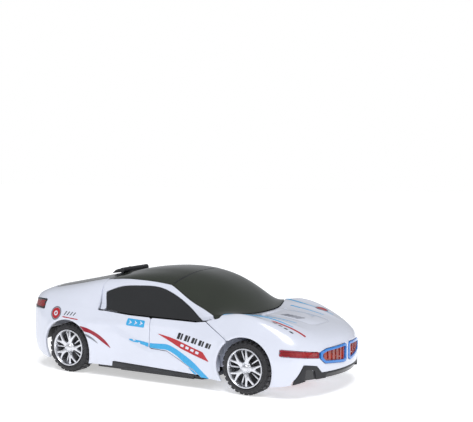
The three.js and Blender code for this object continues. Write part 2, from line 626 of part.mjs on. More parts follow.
const cellAt = (i) => {
  const x = cellFirstX + cellPitch * i;
  return barY(x, cellZ, cellRadius, -cellLength / 2, cellLength / 2 - 1.5, 18).add(
    barY(x, cellZ, 2.6, cellLength / 2 - 2, cellLength / 2, 10),
  );
};
const footBlock = sidePrism([[12, floorTop + clear], [37, floorTop + clear], [37, 14], [33, 27], [28, 31], [16, 31], [12, 26]], torsoOuter + 0.8, 35)
  .subtract(barY(legPivotX, legPivotZ, pinRadius + clear, 0, 33, 16));
const pinY = torsoOuter + 0.8 + 7;
const legPin = barY(legPivotX, legPivotZ, pinRadius, -pinY, pinY, 16);
const hoodPin = barY(hoodPivotX, hoodPivotZ, pinRadius, -hoodPlateOuter, hoodPlateOuter, 16);
const headPin = barY(headPivotX, headPivotZ, headPinRadius, -flapHalf - 1.8, flapHalf + 1.8, 12);
const roofPin = barY(canopyRearX, canopyPivotZ, roofPinRadius, -13.6, 13.6, 12);
const circuitBoard = box(-60, -21, -20, 20, 25, 26.6);
const speaker = barZ(-82, 0, 11, 10, 15, 20);
const driveMotor = barZ(turretX, 0, 9, 16, 27, 20);
const liftGearbox = unite(box(-34, 2, -13, 13, 30, 46), barY(-44, 38, 8.5, -10, 10, 16), box(-45, -33, -9, 9, 32, 44));
const powerSwitch = box(switchX - 1.6, switchX + 1.6, -4, 0, floorBottomZ - 1.2, floorTop + 1).add(
  box(switchX - 3.4, switchX + 3.4, -6, 2, floorTop + 0.4, floorTop + 1.4),
);

// ---------------------------------------------------------------- gears of the lift
const gearModule = 1;
const gearTeeth = 18;
const pinionTeeth = 10;
const meshPlay = 0.25;

// A spur gear outline in side view round (x, z), with one tooth centred on the angle phase.
function gearOutline(x, z, teeth, phase) {
  const pitchRadius = (gearModule * teeth) / 2;
  const root = pitchRadius - 1.15 * gearModule;
  const tip = pitchRadius + 0.8 * gearModule;
  const pitch = (2 * Math.PI) / teeth;
  const points = [];
  for (let i = 0; i < teeth; i++)
    [[-0.31, root], [-0.1, tip], [0.1, tip], [0.31, root]].forEach(([part, r]) => {
      const a = phase + (i + part) * pitch;
      points.push([x + r * Math.cos(a), z + r * Math.sin(a)]);
    });
  return points;
}
const pinionAngle = (150 * Math.PI) / 180;
const meshDistance = (gearModule * (gearTeeth + pinionTeeth)) / 2 + meshPlay;
const pinionX = legPivotX + meshDistance * Math.cos(pinionAngle);
const pinionZ = legPivotZ + meshDistance * Math.sin(pinionAngle);
const legGear = sidePrism(gearOutline(legPivotX, legPivotZ, gearTeeth, pinionAngle), -2.5, 2.5)
  .add(tubeY(legPivotX, legPivotZ, 4.4, pinRadius + pinPlay, -legInnerWide + gap, legInnerWide - gap, 16))
  .subtract(barY(legPivotX, legPivotZ, pinRadius + pinPlay, -10, 10, 16));
const pinionPhase = pinionAngle + Math.PI + Math.PI / pinionTeeth;
const liftPinion = sidePrism(gearOutline(pinionX, pinionZ, pinionTeeth, pinionPhase), -3, 3).add(
  barY(pinionX, pinionZ, 1.6, -7, 7, 12),
);
const pinionBracket = both(
  box(0, pinionX + 3, 5.4, 8, 30, 38).subtract(barY(pinionX, pinionZ, 1.6 + clear, 0, 12, 12)),
);

// ---------------------------------------------------------------- wheels
function lathe(points, sides) {
  return new THREE.LatheGeometry(points.map(([r, y]) => new THREE.Vector2(r, y)), sides);
}

// A left tyre, its axis along Y, with its outer face at y 0.
function tyreSolid() {
  const hole = rimRadius + clear;
  const w = tyreWidth;
  const shoulder = tyreRadius - 1;
  const profile = [
    [hole, 0], [hole, -w], [shoulder, -w], [tyreRadius, -w + 1.4], [tyreRadius, -1.4], [shoulder, 0], [hole, 0],
  ];
  return solid(lathe(profile, 24));
}

function rimSolid(boreRadius) {
  const face = new THREE.Shape();
  face.absarc(0, 0, rimRadius, 0, 2 * Math.PI);
  for (let i = 0; i < 5; i++) {
    const a = (i * 2 * Math.PI) / 5;
    const hole = new THREE.Path();
    const at = (r, turn) => [r * Math.cos(a + turn), r * Math.sin(a + turn)];
    hole.moveTo(...at(4.6, 0));
    [[rimRadius - 2, 0.4], [rimRadius - 2, -0.4]].forEach(([r, t]) => hole.lineTo(...at(r, t)));
    hole.closePath();
    face.holes.push(hole);
  }
  const g = new THREE.ExtrudeGeometry(face, { depth: 2.4, bevelEnabled: false, curveSegments: 10 });
  g.rotateX(Math.PI / 2);
  return unite(
    solid(g).translate([0, -0.6, 0]),
    tubeY(0, 0, rimRadius, rimRadius - 1.4, -tyreWidth + 0.6, 0.6, 20),
    barY(0, 0, 3.8, -tyreWidth + 1.5, 0.4, 10),
  ).subtract(barY(0, 0, boreRadius, -20, -2.2, 10));
}
const tyre = tyreSolid();
const frontRim = rimSolid(2 + clear);
const rearRim = rimSolid(rearAxleRadius + clear);
const rearAxle = barY(rearAxleX, tyreRadius, rearAxleRadius, -wheelFace + 3.4, wheelFace - 3.4, 16);
const put = (m, x, z) => m.translate([x, wheelFace - 0.6, z]);

// ---------------------------------------------------------------- steering turret
const wheelWidth = 3.4;
const wheelSlot = both(
  box(
    turretX - driveWheelRadius - 0.6, turretX + driveWheelRadius + 0.6,
    driveWheelOffset - wheelWidth / 2 - 0.5, driveWheelOffset + wheelWidth / 2 + 0.5,
    0, 20,
  ),
);
const turret = unite(
  barZ(turretX, 0, turretRadius, 5, 9.2, 28),
  barZ(turretX, 0, turretRadius + 1.6, floorTop + gap, 9.2, 28),
)
  .subtract(wheelSlot)
  .subtract(barY(turretX, driveWheelRadius, 1.4, -11, 11, 12));
const driveWheels = unite(
  barY(turretX, driveWheelRadius, 1, -10.6, 10.6, 12),
  both(barY(turretX, driveWheelRadius, driveWheelRadius, driveWheelOffset - wheelWidth / 2, driveWheelOffset + wheelWidth / 2, 24)),
);

// ---------------------------------------------------------------- assembly
const car = new THREE.Group();

function add(name, manifold, material) {
  const m = manifold.getMesh();
  const g = new THREE.BufferGeometry();
  const positions = new Float32Array(m.numVert * 3);
  for (let i = 0; i < m.numVert; i++)
    positions.set(m.vertProperties.subarray(i * m.numProp, i * m.numProp + 3), i * 3);
  g.setAttribute("position", new THREE.BufferAttribute(positions, 3));
  g.setIndex(new THREE.BufferAttribute(m.triVerts, 1));
  const mesh = new THREE.Mesh(g, material.clone());
  mesh.name = name;
  car.add(mesh);
}

function addPair(name, manifold, material) {
  add(`${name}_left`, manifold, material);
  add(`${name}_right`, mirrorY(manifold), material);
}

add("chassis", chassis, black);
add("rear_shell", largest(rearShell), white);
add("rear_window", rearWindow, glass);
addPair("tail_lamp", tailLamp, red);
add("rear_diffuser", diffuser, black);
add("roof_hinge", roofHinge, black);
add("roof_pin", roofPin, steel);
addPair("foot_block", footBlock, white);
add("leg_pin", legPin, steel);
add("battery_cover", batteryCover, black);
[0, 1, 2].forEach((i) => add(`cell_${i + 1}`, cellAt(i), cell));
add("circuit_board", circuitBoard, board);
add("speaker", speaker, black);
add("drive_motor", driveMotor, steel);
add("lift_gearbox", liftGearbox.add(pinionBracket), black);
add("lift_pinion", liftPinion, steel);
add("power_switch", powerSwitch, black);
addPair("leg", legs, white);
add("leg_gear", legGear, black);
add("torso_shell", torsoShell, white);
add("chest_lens", chestLens, red);
add("waist_belt", waistBelt, blue);
addPair("knee_lens", kneeLens, red);
add("hood_pin", hoodPin, steel);
add("hood_shell", largest(hoodShell), white);
add("hood_frame", hoodFrame, white);
add("front_splitter", splitter, black);
addPair("nose_lamp", noseLamp, red);
addPair("headlamp", headlamp, red);
add("head_pin", headPin, steel);
add("head_flap", headFlap, white);
add("helmet", helmet, clearBlue);
add("face_mask", faceMask, blue);
addPair("door", door, white);
addPair("forearm", forearm, white);
addPair("front_tyre", put(tyre, frontAxleX, frontAxleZ), rubber);
addPair("front_rim", put(frontRim, frontAxleX, frontAxleZ), silver);
add("canopy_frame", largest(canopyFrame), white);
add("roof_glass", roofGlass, glass);
addPair("side_window", sideWindow, darkGlass);
add("rear_axle", rearAxle, steel);
addPair("rear_tyre", put(tyre, rearAxleX, tyreRadius), rubber);
addPair("rear_rim", put(rearRim, rearAxleX, tyreRadius), silver);
add("turret", turret, black);
add("drive_wheels", driveWheels, rubber);

export default car;
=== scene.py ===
import bpy
import json
import math
import numpy as np
from mathutils import Matrix, Vector

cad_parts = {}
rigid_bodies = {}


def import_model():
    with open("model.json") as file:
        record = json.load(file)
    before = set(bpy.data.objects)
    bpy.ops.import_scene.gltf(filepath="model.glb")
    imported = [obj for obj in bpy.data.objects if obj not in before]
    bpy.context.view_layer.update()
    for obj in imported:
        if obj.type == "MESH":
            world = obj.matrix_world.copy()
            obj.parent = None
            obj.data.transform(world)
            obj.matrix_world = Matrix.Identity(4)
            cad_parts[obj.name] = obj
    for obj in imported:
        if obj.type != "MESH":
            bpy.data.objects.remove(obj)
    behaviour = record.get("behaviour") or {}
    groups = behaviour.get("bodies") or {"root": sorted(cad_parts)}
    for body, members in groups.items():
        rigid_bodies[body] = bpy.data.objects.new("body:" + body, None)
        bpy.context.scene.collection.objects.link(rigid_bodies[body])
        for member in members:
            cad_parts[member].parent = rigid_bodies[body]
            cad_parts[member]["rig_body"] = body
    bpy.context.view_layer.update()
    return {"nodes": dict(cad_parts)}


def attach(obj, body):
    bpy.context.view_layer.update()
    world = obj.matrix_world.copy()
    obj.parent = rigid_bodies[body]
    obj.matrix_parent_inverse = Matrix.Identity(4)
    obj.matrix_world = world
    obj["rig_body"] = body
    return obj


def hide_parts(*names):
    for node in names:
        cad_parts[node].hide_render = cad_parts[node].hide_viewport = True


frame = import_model()
bpy.ops.object.select_all(action="DESELECT")
nodes = frame["nodes"]
mm = 0.001
sides = ((1, "left"), (-1, "right"))

# camera: three-quarter front view from the car's right, a little above
camera = {"place": (0.3622, -0.5542, 0.1395), "tilt": 86.88, "turn": 30.65, "lens": 78.6}
bpy.ops.object.camera_add(
    location=camera["place"],
    rotation=(math.radians(camera["tilt"]), 0, math.radians(camera["turn"])),
)
cameraObject = bpy.context.object
cameraObject.name = "camera"
cameraObject.data.lens = camera["lens"]
cameraObject.data.sensor_width = 36
cameraObject.data.clip_start = 0.02
bpy.context.scene.camera = cameraObject
print("camera set")

# materials
finishes = {}


def newFinish(name, color, roughness, metallic=0.0, coat=0.0, transmission=0.0, sheen=0.0):
    mat = bpy.data.materials.new(name)
    mat.use_nodes = True
    tree = mat.node_tree
    shader = tree.nodes["Principled BSDF"]
    shader.inputs["Base Color"].default_value = (*color, 1)
    shader.inputs["Roughness"].default_value = roughness
    shader.inputs["Metallic"].default_value = metallic
    shader.inputs["Coat Weight"].default_value = coat
    shader.inputs["Coat Roughness"].default_value = 0.06
    shader.inputs["Transmission Weight"].default_value = transmission
    shader.inputs["Sheen Weight"].default_value = sheen
    finishes[name] = mat
    return mat, tree, shader


def objectNoise(tree, scale, detail, rough=0.55):
    coord = tree.nodes.new("ShaderNodeTexCoord")
    noise = tree.nodes.new("ShaderNodeTexNoise")
    noise.inputs["Scale"].default_value = scale
    noise.inputs["Detail"].default_value = detail
    noise.inputs["Roughness"].default_value = rough
    tree.links.new(coord.outputs["Object"], noise.inputs["Vector"])
    return noise.outputs["Fac"]


def vary(tree, shader, socket, source, low, high):
    # drives a socket from a grey pattern, between two values or two colours
    span = tree.nodes.new("ShaderNodeValToRGB")
    for stop, position, value in zip(span.color_ramp.elements, (0.35, 0.65), (low, high)):
        stop.position = position
        stop.color = (*value, 1) if isinstance(value, tuple) else (value, value, value, 1)
    tree.links.new(source, span.inputs["Fac"])
    tree.links.new(span.outputs["Color"], shader.inputs[socket])


def addBump(tree, shader, height, strength, distance):
    bump = tree.nodes.new("ShaderNodeBump")
    bump.inputs["Strength"].default_value = strength
    bump.inputs["Distance"].default_value = distance
    tree.links.new(height, bump.inputs["Height"])
    tree.links.new(bump.outputs["Normal"], shader.inputs["Normal"])


def moulded(name, color, roughness, grain=1400, grainDepth=0.00002, shade=0.94, **more):
    # a moulded plastic: faint clouding, uneven gloss and a fine grain
    mat, tree, shader = newFinish(name, color, roughness, **more)
    cloud = objectNoise(tree, 38, 4)
    vary(tree, shader, "Base Color", cloud, tuple(c * shade for c in color), color)
    smear = objectNoise(tree, 120, 5, 0.65)
    vary(tree, shader, "Roughness", smear, roughness * 0.8, roughness * 1.25)
    fine = objectNoise(tree, grain, 2)
    addBump(tree, shader, fine, 0.5, grainDepth)
    return mat


whiteGloss = moulded("whiteGloss", (0.75, 0.78, 0.88), 0.2, grain=420, grainDepth=0.000012, shade=0.965, coat=0.6)
whiteSatin = moulded("whiteSatin", (0.66, 0.69, 0.78), 0.42, grain=2600, grainDepth=0.00002, shade=0.93)
blackSatin = moulded("blackSatin", (0.018, 0.019, 0.023), 0.42, grain=3000, grainDepth=0.00003, shade=0.6)
blackGloss = moulded("blackGloss", (0.012, 0.013, 0.016), 0.14, grain=500, grainDepth=0.00001, shade=0.7, coat=0.7)
smokedGlass = moulded("smokedGlass", (0.040, 0.047, 0.034), 0.1, grain=260, grainDepth=0.00001, shade=0.85,
                      coat=0.3, transmission=0.25)
smokedGlass.node_tree.nodes["Principled BSDF"].inputs["Specular IOR Level"].default_value = 0.35
darkGlass = moulded("darkGlass", (0.010, 0.011, 0.012), 0.09, grain=260, grainDepth=0.00001, shade=0.8, coat=0.8)
blueGloss = moulded("blueGloss", (0.03, 0.24, 0.72), 0.2, grain=600, grainDepth=0.00001, shade=0.85, coat=0.5)
cyanPrint = moulded("cyanPrint", (0.045, 0.42, 0.78), 0.28, grain=900, grainDepth=0.00001, shade=0.9)
redPrint = moulded("redPrint", (0.52, 0.02, 0.03), 0.3, grain=900, grainDepth=0.00001, shade=0.85)
crimsonPrint = moulded("crimsonPrint", (0.34, 0.012, 0.03), 0.3, grain=900, grainDepth=0.00001, shade=0.85)
blackPrint = moulded("blackPrint", (0.015, 0.016, 0.02), 0.32, grain=900, grainDepth=0.00001, shade=0.75)
greyPrint = moulded("greyPrint", (0.22, 0.23, 0.27), 0.32, grain=900, grainDepth=0.00001, shade=0.85)
clearBlue = moulded("clearBlue", (0.62, 0.76, 0.86), 0.12, grain=300, grainDepth=0.00001, coat=0.4,
                    transmission=0.55)
boardGreen = moulded("boardGreen", (0.02, 0.13, 0.04), 0.35, grain=1500, shade=0.7)
cellSleeve = moulded("cellSleeve", (0.03, 0.16, 0.06), 0.3, grain=1500, shade=0.8, metallic=0.3)
motorCan = moulded("motorCan", (0.55, 0.55, 0.57), 0.34, grain=1200, shade=0.85, metallic=0.95)
pinSteel = moulded("pinSteel", (0.6, 0.6, 0.62), 0.3, grain=1800, shade=0.85, metallic=1.0)


def makeLens(name, color):
    # clear tinted plastic with optic ribs moulded on it
    mat, tree, shader = newFinish(name, color, 0.1, coat=0.7, transmission=0.3)
    cloud = objectNoise(tree, 60, 3)
    vary(tree, shader, "Base Color", cloud, tuple(c * 0.6 for c in color), color)
    coord = tree.nodes.new("ShaderNodeTexCoord")
    wave = tree.nodes.new("ShaderNodeTexWave")
    wave.bands_direction = "Y"
    wave.inputs["Scale"].default_value = 160
    wave.inputs["Distortion"].default_value = 0.0
    tree.links.new(coord.outputs["Object"], wave.inputs["Vector"])
    addBump(tree, shader, wave.outputs["Fac"], 0.6, 0.0002)
    return mat


redLens = makeLens("redLens", (0.50, 0.012, 0.016))
amberLens = makeLens("amberLens", (0.62, 0.05, 0.012))


def makeRubber():
    mat, tree, shader = newFinish("rubber", (0.016, 0.016, 0.019), 0.72, sheen=0.15)
    dust = objectNoise(tree, 90, 6, 0.7)
    vary(tree, shader, "Base Color", dust, (0.012, 0.012, 0.014), (0.034, 0.034, 0.038))
    vary(tree, shader, "Roughness", dust, 0.6, 0.82)
    fine = objectNoise(tree, 2200, 3)
    addBump(tree, shader, fine, 0.6, 0.00006)
    return mat


def makeSilver():
    mat, tree, shader = newFinish("rimSilver", (0.74, 0.75, 0.78), 0.24, metallic=0.92)
    cloud = objectNoise(tree, 70, 4)
    vary(tree, shader, "Base Color", cloud, (0.62, 0.63, 0.67), (0.8, 0.81, 0.84))
    vary(tree, shader, "Roughness", cloud, 0.18, 0.34)
    fine = objectNoise(tree, 900, 2)
    addBump(tree, shader, fine, 0.4, 0.00001)
    return mat


rubber = makeRubber()
rimSilver = makeSilver()
print("materials ready:", len(finishes))

# body surface: half sections from the sill to the centre line, as y and z in mm, with the bow of each
stations = [
    (-95, -15, [35, 13, 38, 18, 39, 26, 38.5, 34, 36, 41, 29, 46, 15, 47.5, 0, 48]),
    (-88, -13.5, [40, 9, 42, 16, 43.2, 25, 42.5, 35, 39.5, 43.5, 31, 49, 16, 50.5, 0, 51]),
    (-78, -9.5, [43, 7.5, 45, 15, 45.8, 25, 44.8, 35, 41, 43.5, 32, 51, 16.5, 53.3, 0, 54]),
    (-66, -4, [43.5, 7.5, 45.6, 15, 46.3, 25, 45, 35, 41, 43, 32.5, 53.5, 16.5, 56.6, 0, 57.6]),
    (-45, 0, [43, 7.5, 44.6, 14, 45, 23, 43.8, 32.5, 39, 41.5, 32, 57.5, 16.5, 61.6, 0, 62.8]),
    (-20, 0, [42.5, 7.5, 43.6, 13, 43.2, 22, 42.6, 32, 40.6, 40, 30.5, 60, 16.5, 65.8, 0, 67.2]),
    (5, 0, [42.5, 7.5, 43.4, 13, 42.8, 22, 42.4, 32, 40.8, 40, 30.2, 58.8, 16.5, 66.3, 0, 68]),
    (22, 4, [42.6, 7.5, 43.5, 13, 43.2, 22, 42.8, 32, 41, 40, 33, 51.5, 17, 62.2, 0, 64.4]),
    (35, 8, [43, 7.5, 44.1, 13, 44.2, 22, 43.5, 32, 41.6, 41, 37, 46.2, 18, 54.2, 0, 56.2]),
    (45, 12, [43.3, 7, 44.8, 14, 45.2, 23, 44.4, 34, 41, 44, 34, 45.6, 17, 43.6, 0, 43.4]),
    (56, 12, [43.6, 7, 45.4, 14, 46, 24, 45, 35.5, 40.6, 46, 33, 45.6, 17, 43.3, 0, 43.2]),
    (66, 12, [43.6, 7, 45.4, 14, 46, 24, 44.6, 35.2, 40, 44.8, 32, 44.2, 16.5, 42.4, 0, 42.2]),
    (76, 12.5, [43.4, 7, 45, 14, 45.4, 23.5, 43.6, 33.2, 38.5, 41.2, 30, 41.3, 15.5, 40.4, 0, 40.4]),
    (86, 13.5, [42, 7.5, 43.6, 14, 43.6, 22.5, 41.5, 30.5, 36, 36, 27.5, 37.2, 14.5, 37.2, 0, 37.2]),
    (92, 14.6, [39.5, 9, 41, 14.5, 41, 21.5, 39, 27.5, 33.5, 31.5, 25.5, 33, 13.5, 33.5, 0, 33.6]),
    (95, 15, [36.5, 10.5, 38, 15, 38, 20.5, 36, 25, 31, 28, 24, 29.2, 12.5, 29.6, 0, 29.8]),
]
body = {
    "end": 95,  # distance of the nose and tail sections from the middle
    "corner": 2.4,  # rounding between the sides and the nose or tail face
    "halfWidth": 44,
    "cowl": 45,  # station where the windscreen meets the hood
    "belt": 4,
    "top": 7,
    "wall": 1.6,
    "glassWall": 1.2,
    "gap": 0.4,
    "clear": 0.3,
    "edge": 0.28,  # rounding of panel edges
}
halfOf = {1: (0, body["top"]), -1: (-body["top"], 0)}  # the range across, for one side
stationS = np.array([row[0] for row in stations], float)
stationTable = np.array([[row[1], *row[2]] for row in stations], float)
cowlRow = [row[0] for row in stations].index(body["cowl"])


def blendRows(left, right, before, after, span, t):
    t = t[:, None]
    span = span[:, None]
    return (
        (2 * t**3 - 3 * t**2 + 1) * left
        + (t**3 - 2 * t**2 + t) * span * before
        + (3 * t**2 - 2 * t**3) * right
        + (t**3 - t**2) * span * after
    )


def sectionsAt(s):
    # bow and half-section points at each s, with a crease at the cowl
    i = np.searchsorted(stationS[1:-1], s, side="left")
    j = i + 1
    low = np.where((i > 0) & (i != cowlRow), i - 1, i)
    high = np.where((j < len(stationS) - 1) & (j != cowlRow), i + 2, j)
    before = (stationTable[j] - stationTable[low]) / (stationS[j] - stationS[low])[:, None]
    after = (stationTable[high] - stationTable[i]) / (stationS[high] - stationS[i])[:, None]
    span = stationS[j] - stationS[i]
    return blendRows(stationTable[i], stationTable[j], before, after, span, (s - stationS[i]) / span)


def sectionPoint(knots, u):
    i = np.clip(np.ceil(u) - 1, 0, body["top"] - 1).astype(int)
    j = i + 1
    low = np.maximum(i - 1, 0)
    high = i + 2
    row = np.arange(len(u))
    before = (knots[row, j] - knots[row, low]) / (j - low)[:, None]
    after = (knots[row, high] - knots[row, i]) / (high - i)[:, None]
    return blendRows(knots[row, i], knots[row, j], before, after, np.ones(len(u)), u - i)


def roundedEnd(a):
    # station and inset along the rounded corner to the nose or tail face
    corner = body["corner"]
    flat = body["end"] - corner
    over = np.clip((np.abs(a) - flat) / corner, 0, 1) * math.pi / 2
    s = np.where(np.abs(a) > flat, np.sign(a) * (flat + corner * np.sin(over)), a)
    return s, corner * (1 - np.cos(over))


def rawSkin(a, w, tuck):
    # a runs along the car, w across it: the sign of w is the side, 0 is the centre line
    s, inset = roundedEnd(a)
    rows = sectionsAt(s)
    bow = rows[:, 0]
    knots = rows[:, 1:].reshape(-1, 8, 2).copy()
    knots[:, body["belt"], 0] -= tuck
    mirror = knots[:, 6:7] * np.array([-1, 1])
    knots = np.concatenate([knots, mirror], axis=1)
    u = body["top"] - np.abs(w)
    p = sectionPoint(knots, u)
    ahead = sectionPoint(knots, np.minimum(u + 0.02, body["top"]))
    behind = sectionPoint(knots, np.maximum(u - 0.02, 0))
    run = ahead - behind
    run /= np.maximum(np.linalg.norm(run, axis=1), 1e-9)[:, None]
    y = np.maximum(p[:, 0] - inset * run[:, 1], 0) * np.where(w < 0, -1, 1)
    z = p[:, 1] + inset * run[:, 0]
    x = s + bow * (1 - (y / body["halfWidth"]) ** 2)
    return np.stack([x, y, z], axis=1)


def smoothHill(distance, reach):
    t = np.clip(1 - np.abs(distance) / reach, 0, 1)
    return t * t * (3 - 2 * t)


sculpt = {"lip": 0.5, "shoulder": 0.55, "haunch": 0.8, "crease": 0.5}  # heights of the raised details


def relief(p):
    # sculpted detail on the skin: wheel-arch lips, shoulder line, haunch step and hood creases, in mm outwards
    x, y, z = p[:, 0], np.abs(p[:, 1]), p[:, 2]
    lift = np.zeros(len(p))
    for axleX in (65, -66):
        ring = np.hypot(x - axleX, z - 16)
        lift += sculpt["lip"] * smoothHill(ring - 19.5, 2.6) * (y > 34)
    shoulder = z - (34.5 + 0.035 * (x + 20))
    lift += sculpt["shoulder"] * smoothHill(shoulder, 3.2) * smoothHill(x + 38, 34) * (y > 36)
    haunch = np.interp(z, [20, 24, 27, 33, 38, 43], [0, -10, -18, -29, -36, -42]) - x
    step = np.clip(haunch / 3, 0, 1) * np.clip((30 - haunch) / 20, 0, 1)
    band = np.clip((45 - z) / 4, 0, 1) * np.clip((z - 14) / 5, 0, 1) * (y > 34)
    lift += sculpt["haunch"] * step * step * (3 - 2 * step) * band
    crease = y - (28.5 - 0.16 * (x - 60))
    lift += sculpt["crease"] * smoothHill(crease, 3.5) * smoothHill(x - 76, 24) * (z > 30)
    return lift


def skinPoints(a, w, tuck=0, sink=0):
    p = rawSkin(a, w, tuck)
    end = body["end"]
    alongA = rawSkin(np.minimum(a + 0.05, end), w, tuck) - rawSkin(np.maximum(a - 0.05, -end), w, tuck)
    top = body["top"]
    alongW = rawSkin(a, np.minimum(w + 0.01, top), tuck) - rawSkin(a, np.maximum(w - 0.01, -top), tuck)
    normal = np.cross(alongW, alongA)
    normal /= np.maximum(np.linalg.norm(normal, axis=1), 1e-9)[:, None]
    normal *= np.where((normal * (p - np.array([0, 0, 20]))).sum(1) < 0, -1, 1)[:, None]
    fade = np.clip((body["end"] - np.abs(a)) / 6, 0, 1)  # no relief at the nose and tail faces
    return p + normal * (relief(p) * fade - sink)[:, None]


def faceOfEnd(sign):
    # the bowed face that closes the nose or tail: c runs across it, u from sill to top
    def points(c, u, tuck=0, sink=0):
        edge = rawSkin(np.full(len(c), sign * body["end"], float), body["top"] - u, tuck)
        y = edge[:, 1] * c
        bow = stationTable[-1 if sign > 0 else 0, 0]
        x = sign * body["end"] + bow * (1 - (y / body["halfWidth"]) ** 2) - sign * sink
        return np.stack([x, y, edge[:, 2]], axis=1)

    return points


# zones of the skin, as functions that are positive inside and in mm
def insideOutline(points, outline, rounding=0.0):
    outline = np.array(outline, float)
    if rounding:
        outline = np.array(shrink(outline, rounding))
    a = outline
    b = np.roll(outline, -1, axis=0)
    best = np.full(len(points), 1e9)
    inside = np.zeros(len(points), bool)
    for (ax, az), (bx, bz) in zip(a, b):
        dx, dz = bx - ax, bz - az
        t = np.clip(((points[:, 0] - ax) * dx + (points[:, 1] - az) * dz) / (dx * dx + dz * dz), 0, 1)
        best = np.minimum(best, np.hypot(points[:, 0] - ax - t * dx, points[:, 1] - az - t * dz))
        if dz:
            cross = (az > points[:, 1]) != (bz > points[:, 1])
            inside ^= cross & (points[:, 0] < dx * (points[:, 1] - az) / dz + ax)
    return np.where(inside, best, -best) + rounding


def shrink(points, by):
    points = np.array(points, float)
    n = len(points)
    area = sum(points[i][0] * points[(i + 1) % n][1] - points[(i + 1) % n][0] * points[i][1] for i in range(n))
    turn = math.copysign(by, area)
    edges = []
    for i in range(n):
        d = points[(i + 1) % n] - points[i]
        d = d / np.hypot(*d)
        edges.append((points[i][0] - d[1] * turn, points[i][1] + d[0] * turn, d[0], d[1]))
    moved = []
    for i in range(n):
        x, y, dx, dy = edges[i]
        px, py, ex, ey = edges[i - 1]
        t = ((x - px) * dy - (y - py) * dx) / (ex * dy - ey * dx)
        moved.append((px + ex * t, py + ey * t))
    return moved


def smoothed(points, parts=5, sharpest=52):
    # a closed outline with its gentle corners turned into curves
    points = [np.array(p, float) for p in points]
    n = len(points)

    def slopes(i):
        before, after = points[i] - points[i - 1], points[(i + 1) % n] - points[i]
        turn = math.degrees(math.acos(np.clip(before @ after / (np.hypot(*before) * np.hypot(*after)), -1, 1)))
        if turn > sharpest:
            return before, after
        along = before / np.hypot(*before) + after / np.hypot(*after)
        along /= np.hypot(*along)
        return along * np.hypot(*before), along * np.hypot(*after)

    line = []
    for i in range(n):
        p, q = points[i], points[(i + 1) % n]
        start, end = slopes(i)[1], slopes((i + 1) % n)[0]
        for t in np.arange(parts) / parts:
            line.append(tuple((2 * t**3 - 3 * t**2 + 1) * p + (t**3 - 2 * t**2 + t) * start
                              + (3 * t**2 - 2 * t**3) * q + (t**3 - t**2) * end))
    return line


def shifted(points, dx, dz):
    return [(a + dx, b + dz) for a, b in points]


def fromSide(p):
    return p[:, [0, 2]]


def fromTop(p):
    return p[:, :2]


def fromFront(p):
    return np.stack([np.abs(p[:, 1]), p[:, 2]], axis=1)


def both(*parts):
    return np.minimum.reduce(parts)


def either(*parts):
    return np.maximum.reduce(parts)


# trimming a grid of the skin to a zone, with clean edges
def trimmedGrid(points, aLine, bLine, zone, joinEdges=()):
    na, nb = len(aLine), len(bLine)
    gridA, gridB = [g.ravel() for g in np.meshgrid(aLine, bLine, indexing="ij")]
    field = zone(points(gridA, gridB))
    index = np.arange(na * nb).reshape(na, nb)
    edges = np.concatenate([
        np.stack([index[:-1].ravel(), index[1:].ravel()], 1),
        np.stack([index[:, :-1].ravel(), index[:, 1:].ravel()], 1),
    ])

    def crossings(pairs):
        i, j = pairs[:, 0], pairs[:, 1]
        lowT, highT = np.zeros(len(i)), np.ones(len(i))
        lowF, highF = field[i].copy(), field[j].copy()
        t = lowF / (lowF - highF)
        for _ in range(5):
            value = zone(points(gridA[i] + (gridA[j] - gridA[i]) * t, gridB[i] + (gridB[j] - gridB[i]) * t))
            sameAsLow = value * lowF > 0
            lowT, lowF = np.where(sameAsLow, t, lowT), np.where(sameAsLow, value, lowF)
            highT, highF = np.where(sameAsLow, highT, t), np.where(sameAsLow, highF, value)
            guess = lowT + (highT - lowT) * lowF / np.where(lowF == highF, 1, lowF - highF)
            t = np.clip(0.5 * (guess + (lowT + highT) / 2), lowT, highT)
        return t

    # corners close to the border move onto it
    cut = edges[field[edges[:, 0]] * field[edges[:, 1]] < 0]
    if len(cut):
        t = crossings(cut)
        border = {0: index[0], 1: index[-1], 2: index[:, 0], 3: index[:, -1]}
        pinned = np.zeros(na * nb, int)
        for side in joinEdges:
            pinned[border[side]] = side + 1
        reach = np.full(na * nb, 9.0)
        moveA, moveB = gridA.copy(), gridB.copy()
        for (i, j), at in zip(cut, t):
            for vertex, share in ((i, at), (j, 1 - at)):
                if share > 0.36 or share >= reach[vertex]:
                    continue
                if pinned[vertex] and pinned[i] != pinned[j]:
                    continue
                reach[vertex] = share
                moveA[vertex] = gridA[i] + (gridA[j] - gridA[i]) * at
                moveB[vertex] = gridB[i] + (gridB[j] - gridB[i]) * at
        moved = reach < 9
        gridA, gridB = moveA, moveB
        field = np.where(moved, 0, zone(points(gridA, gridB)))
        cut = edges[field[edges[:, 0]] * field[edges[:, 1]] < 0]
    extra = {}
    extraA, extraB = [], []
    if len(cut):
        t = crossings(cut)
        for (i, j), at in zip(cut, t):
            extra[(i, j)] = extra[(j, i)] = na * nb + len(extraA)
            extraA.append(gridA[i] + (gridA[j] - gridA[i]) * at)
            extraB.append(gridB[i] + (gridB[j] - gridB[i]) * at)
    allA = np.concatenate([gridA, extraA])
    allB = np.concatenate([gridB, extraB])
    faces = []
    inside = field >= 0
    some = (field > 0)
    corners = np.stack([index[:-1, :-1], index[1:, :-1], index[1:, 1:], index[:-1, 1:]], -1).reshape(-1, 4)
    for face in corners[some[corners].any(1)]:
        loop = []
        for k in range(4):
            i, j = face[k], face[(k + 1) % 4]
            if inside[i]:
                loop.append(i)
            if (i, j) in extra:
                loop.append(extra[(i, j)])
        if len(loop) > 2:
            faces.append(loop)
    return allA, allB, faces


def spread(low, high, step):
    return np.linspace(low, high, max(2, int(round((high - low) / step)) + 1))


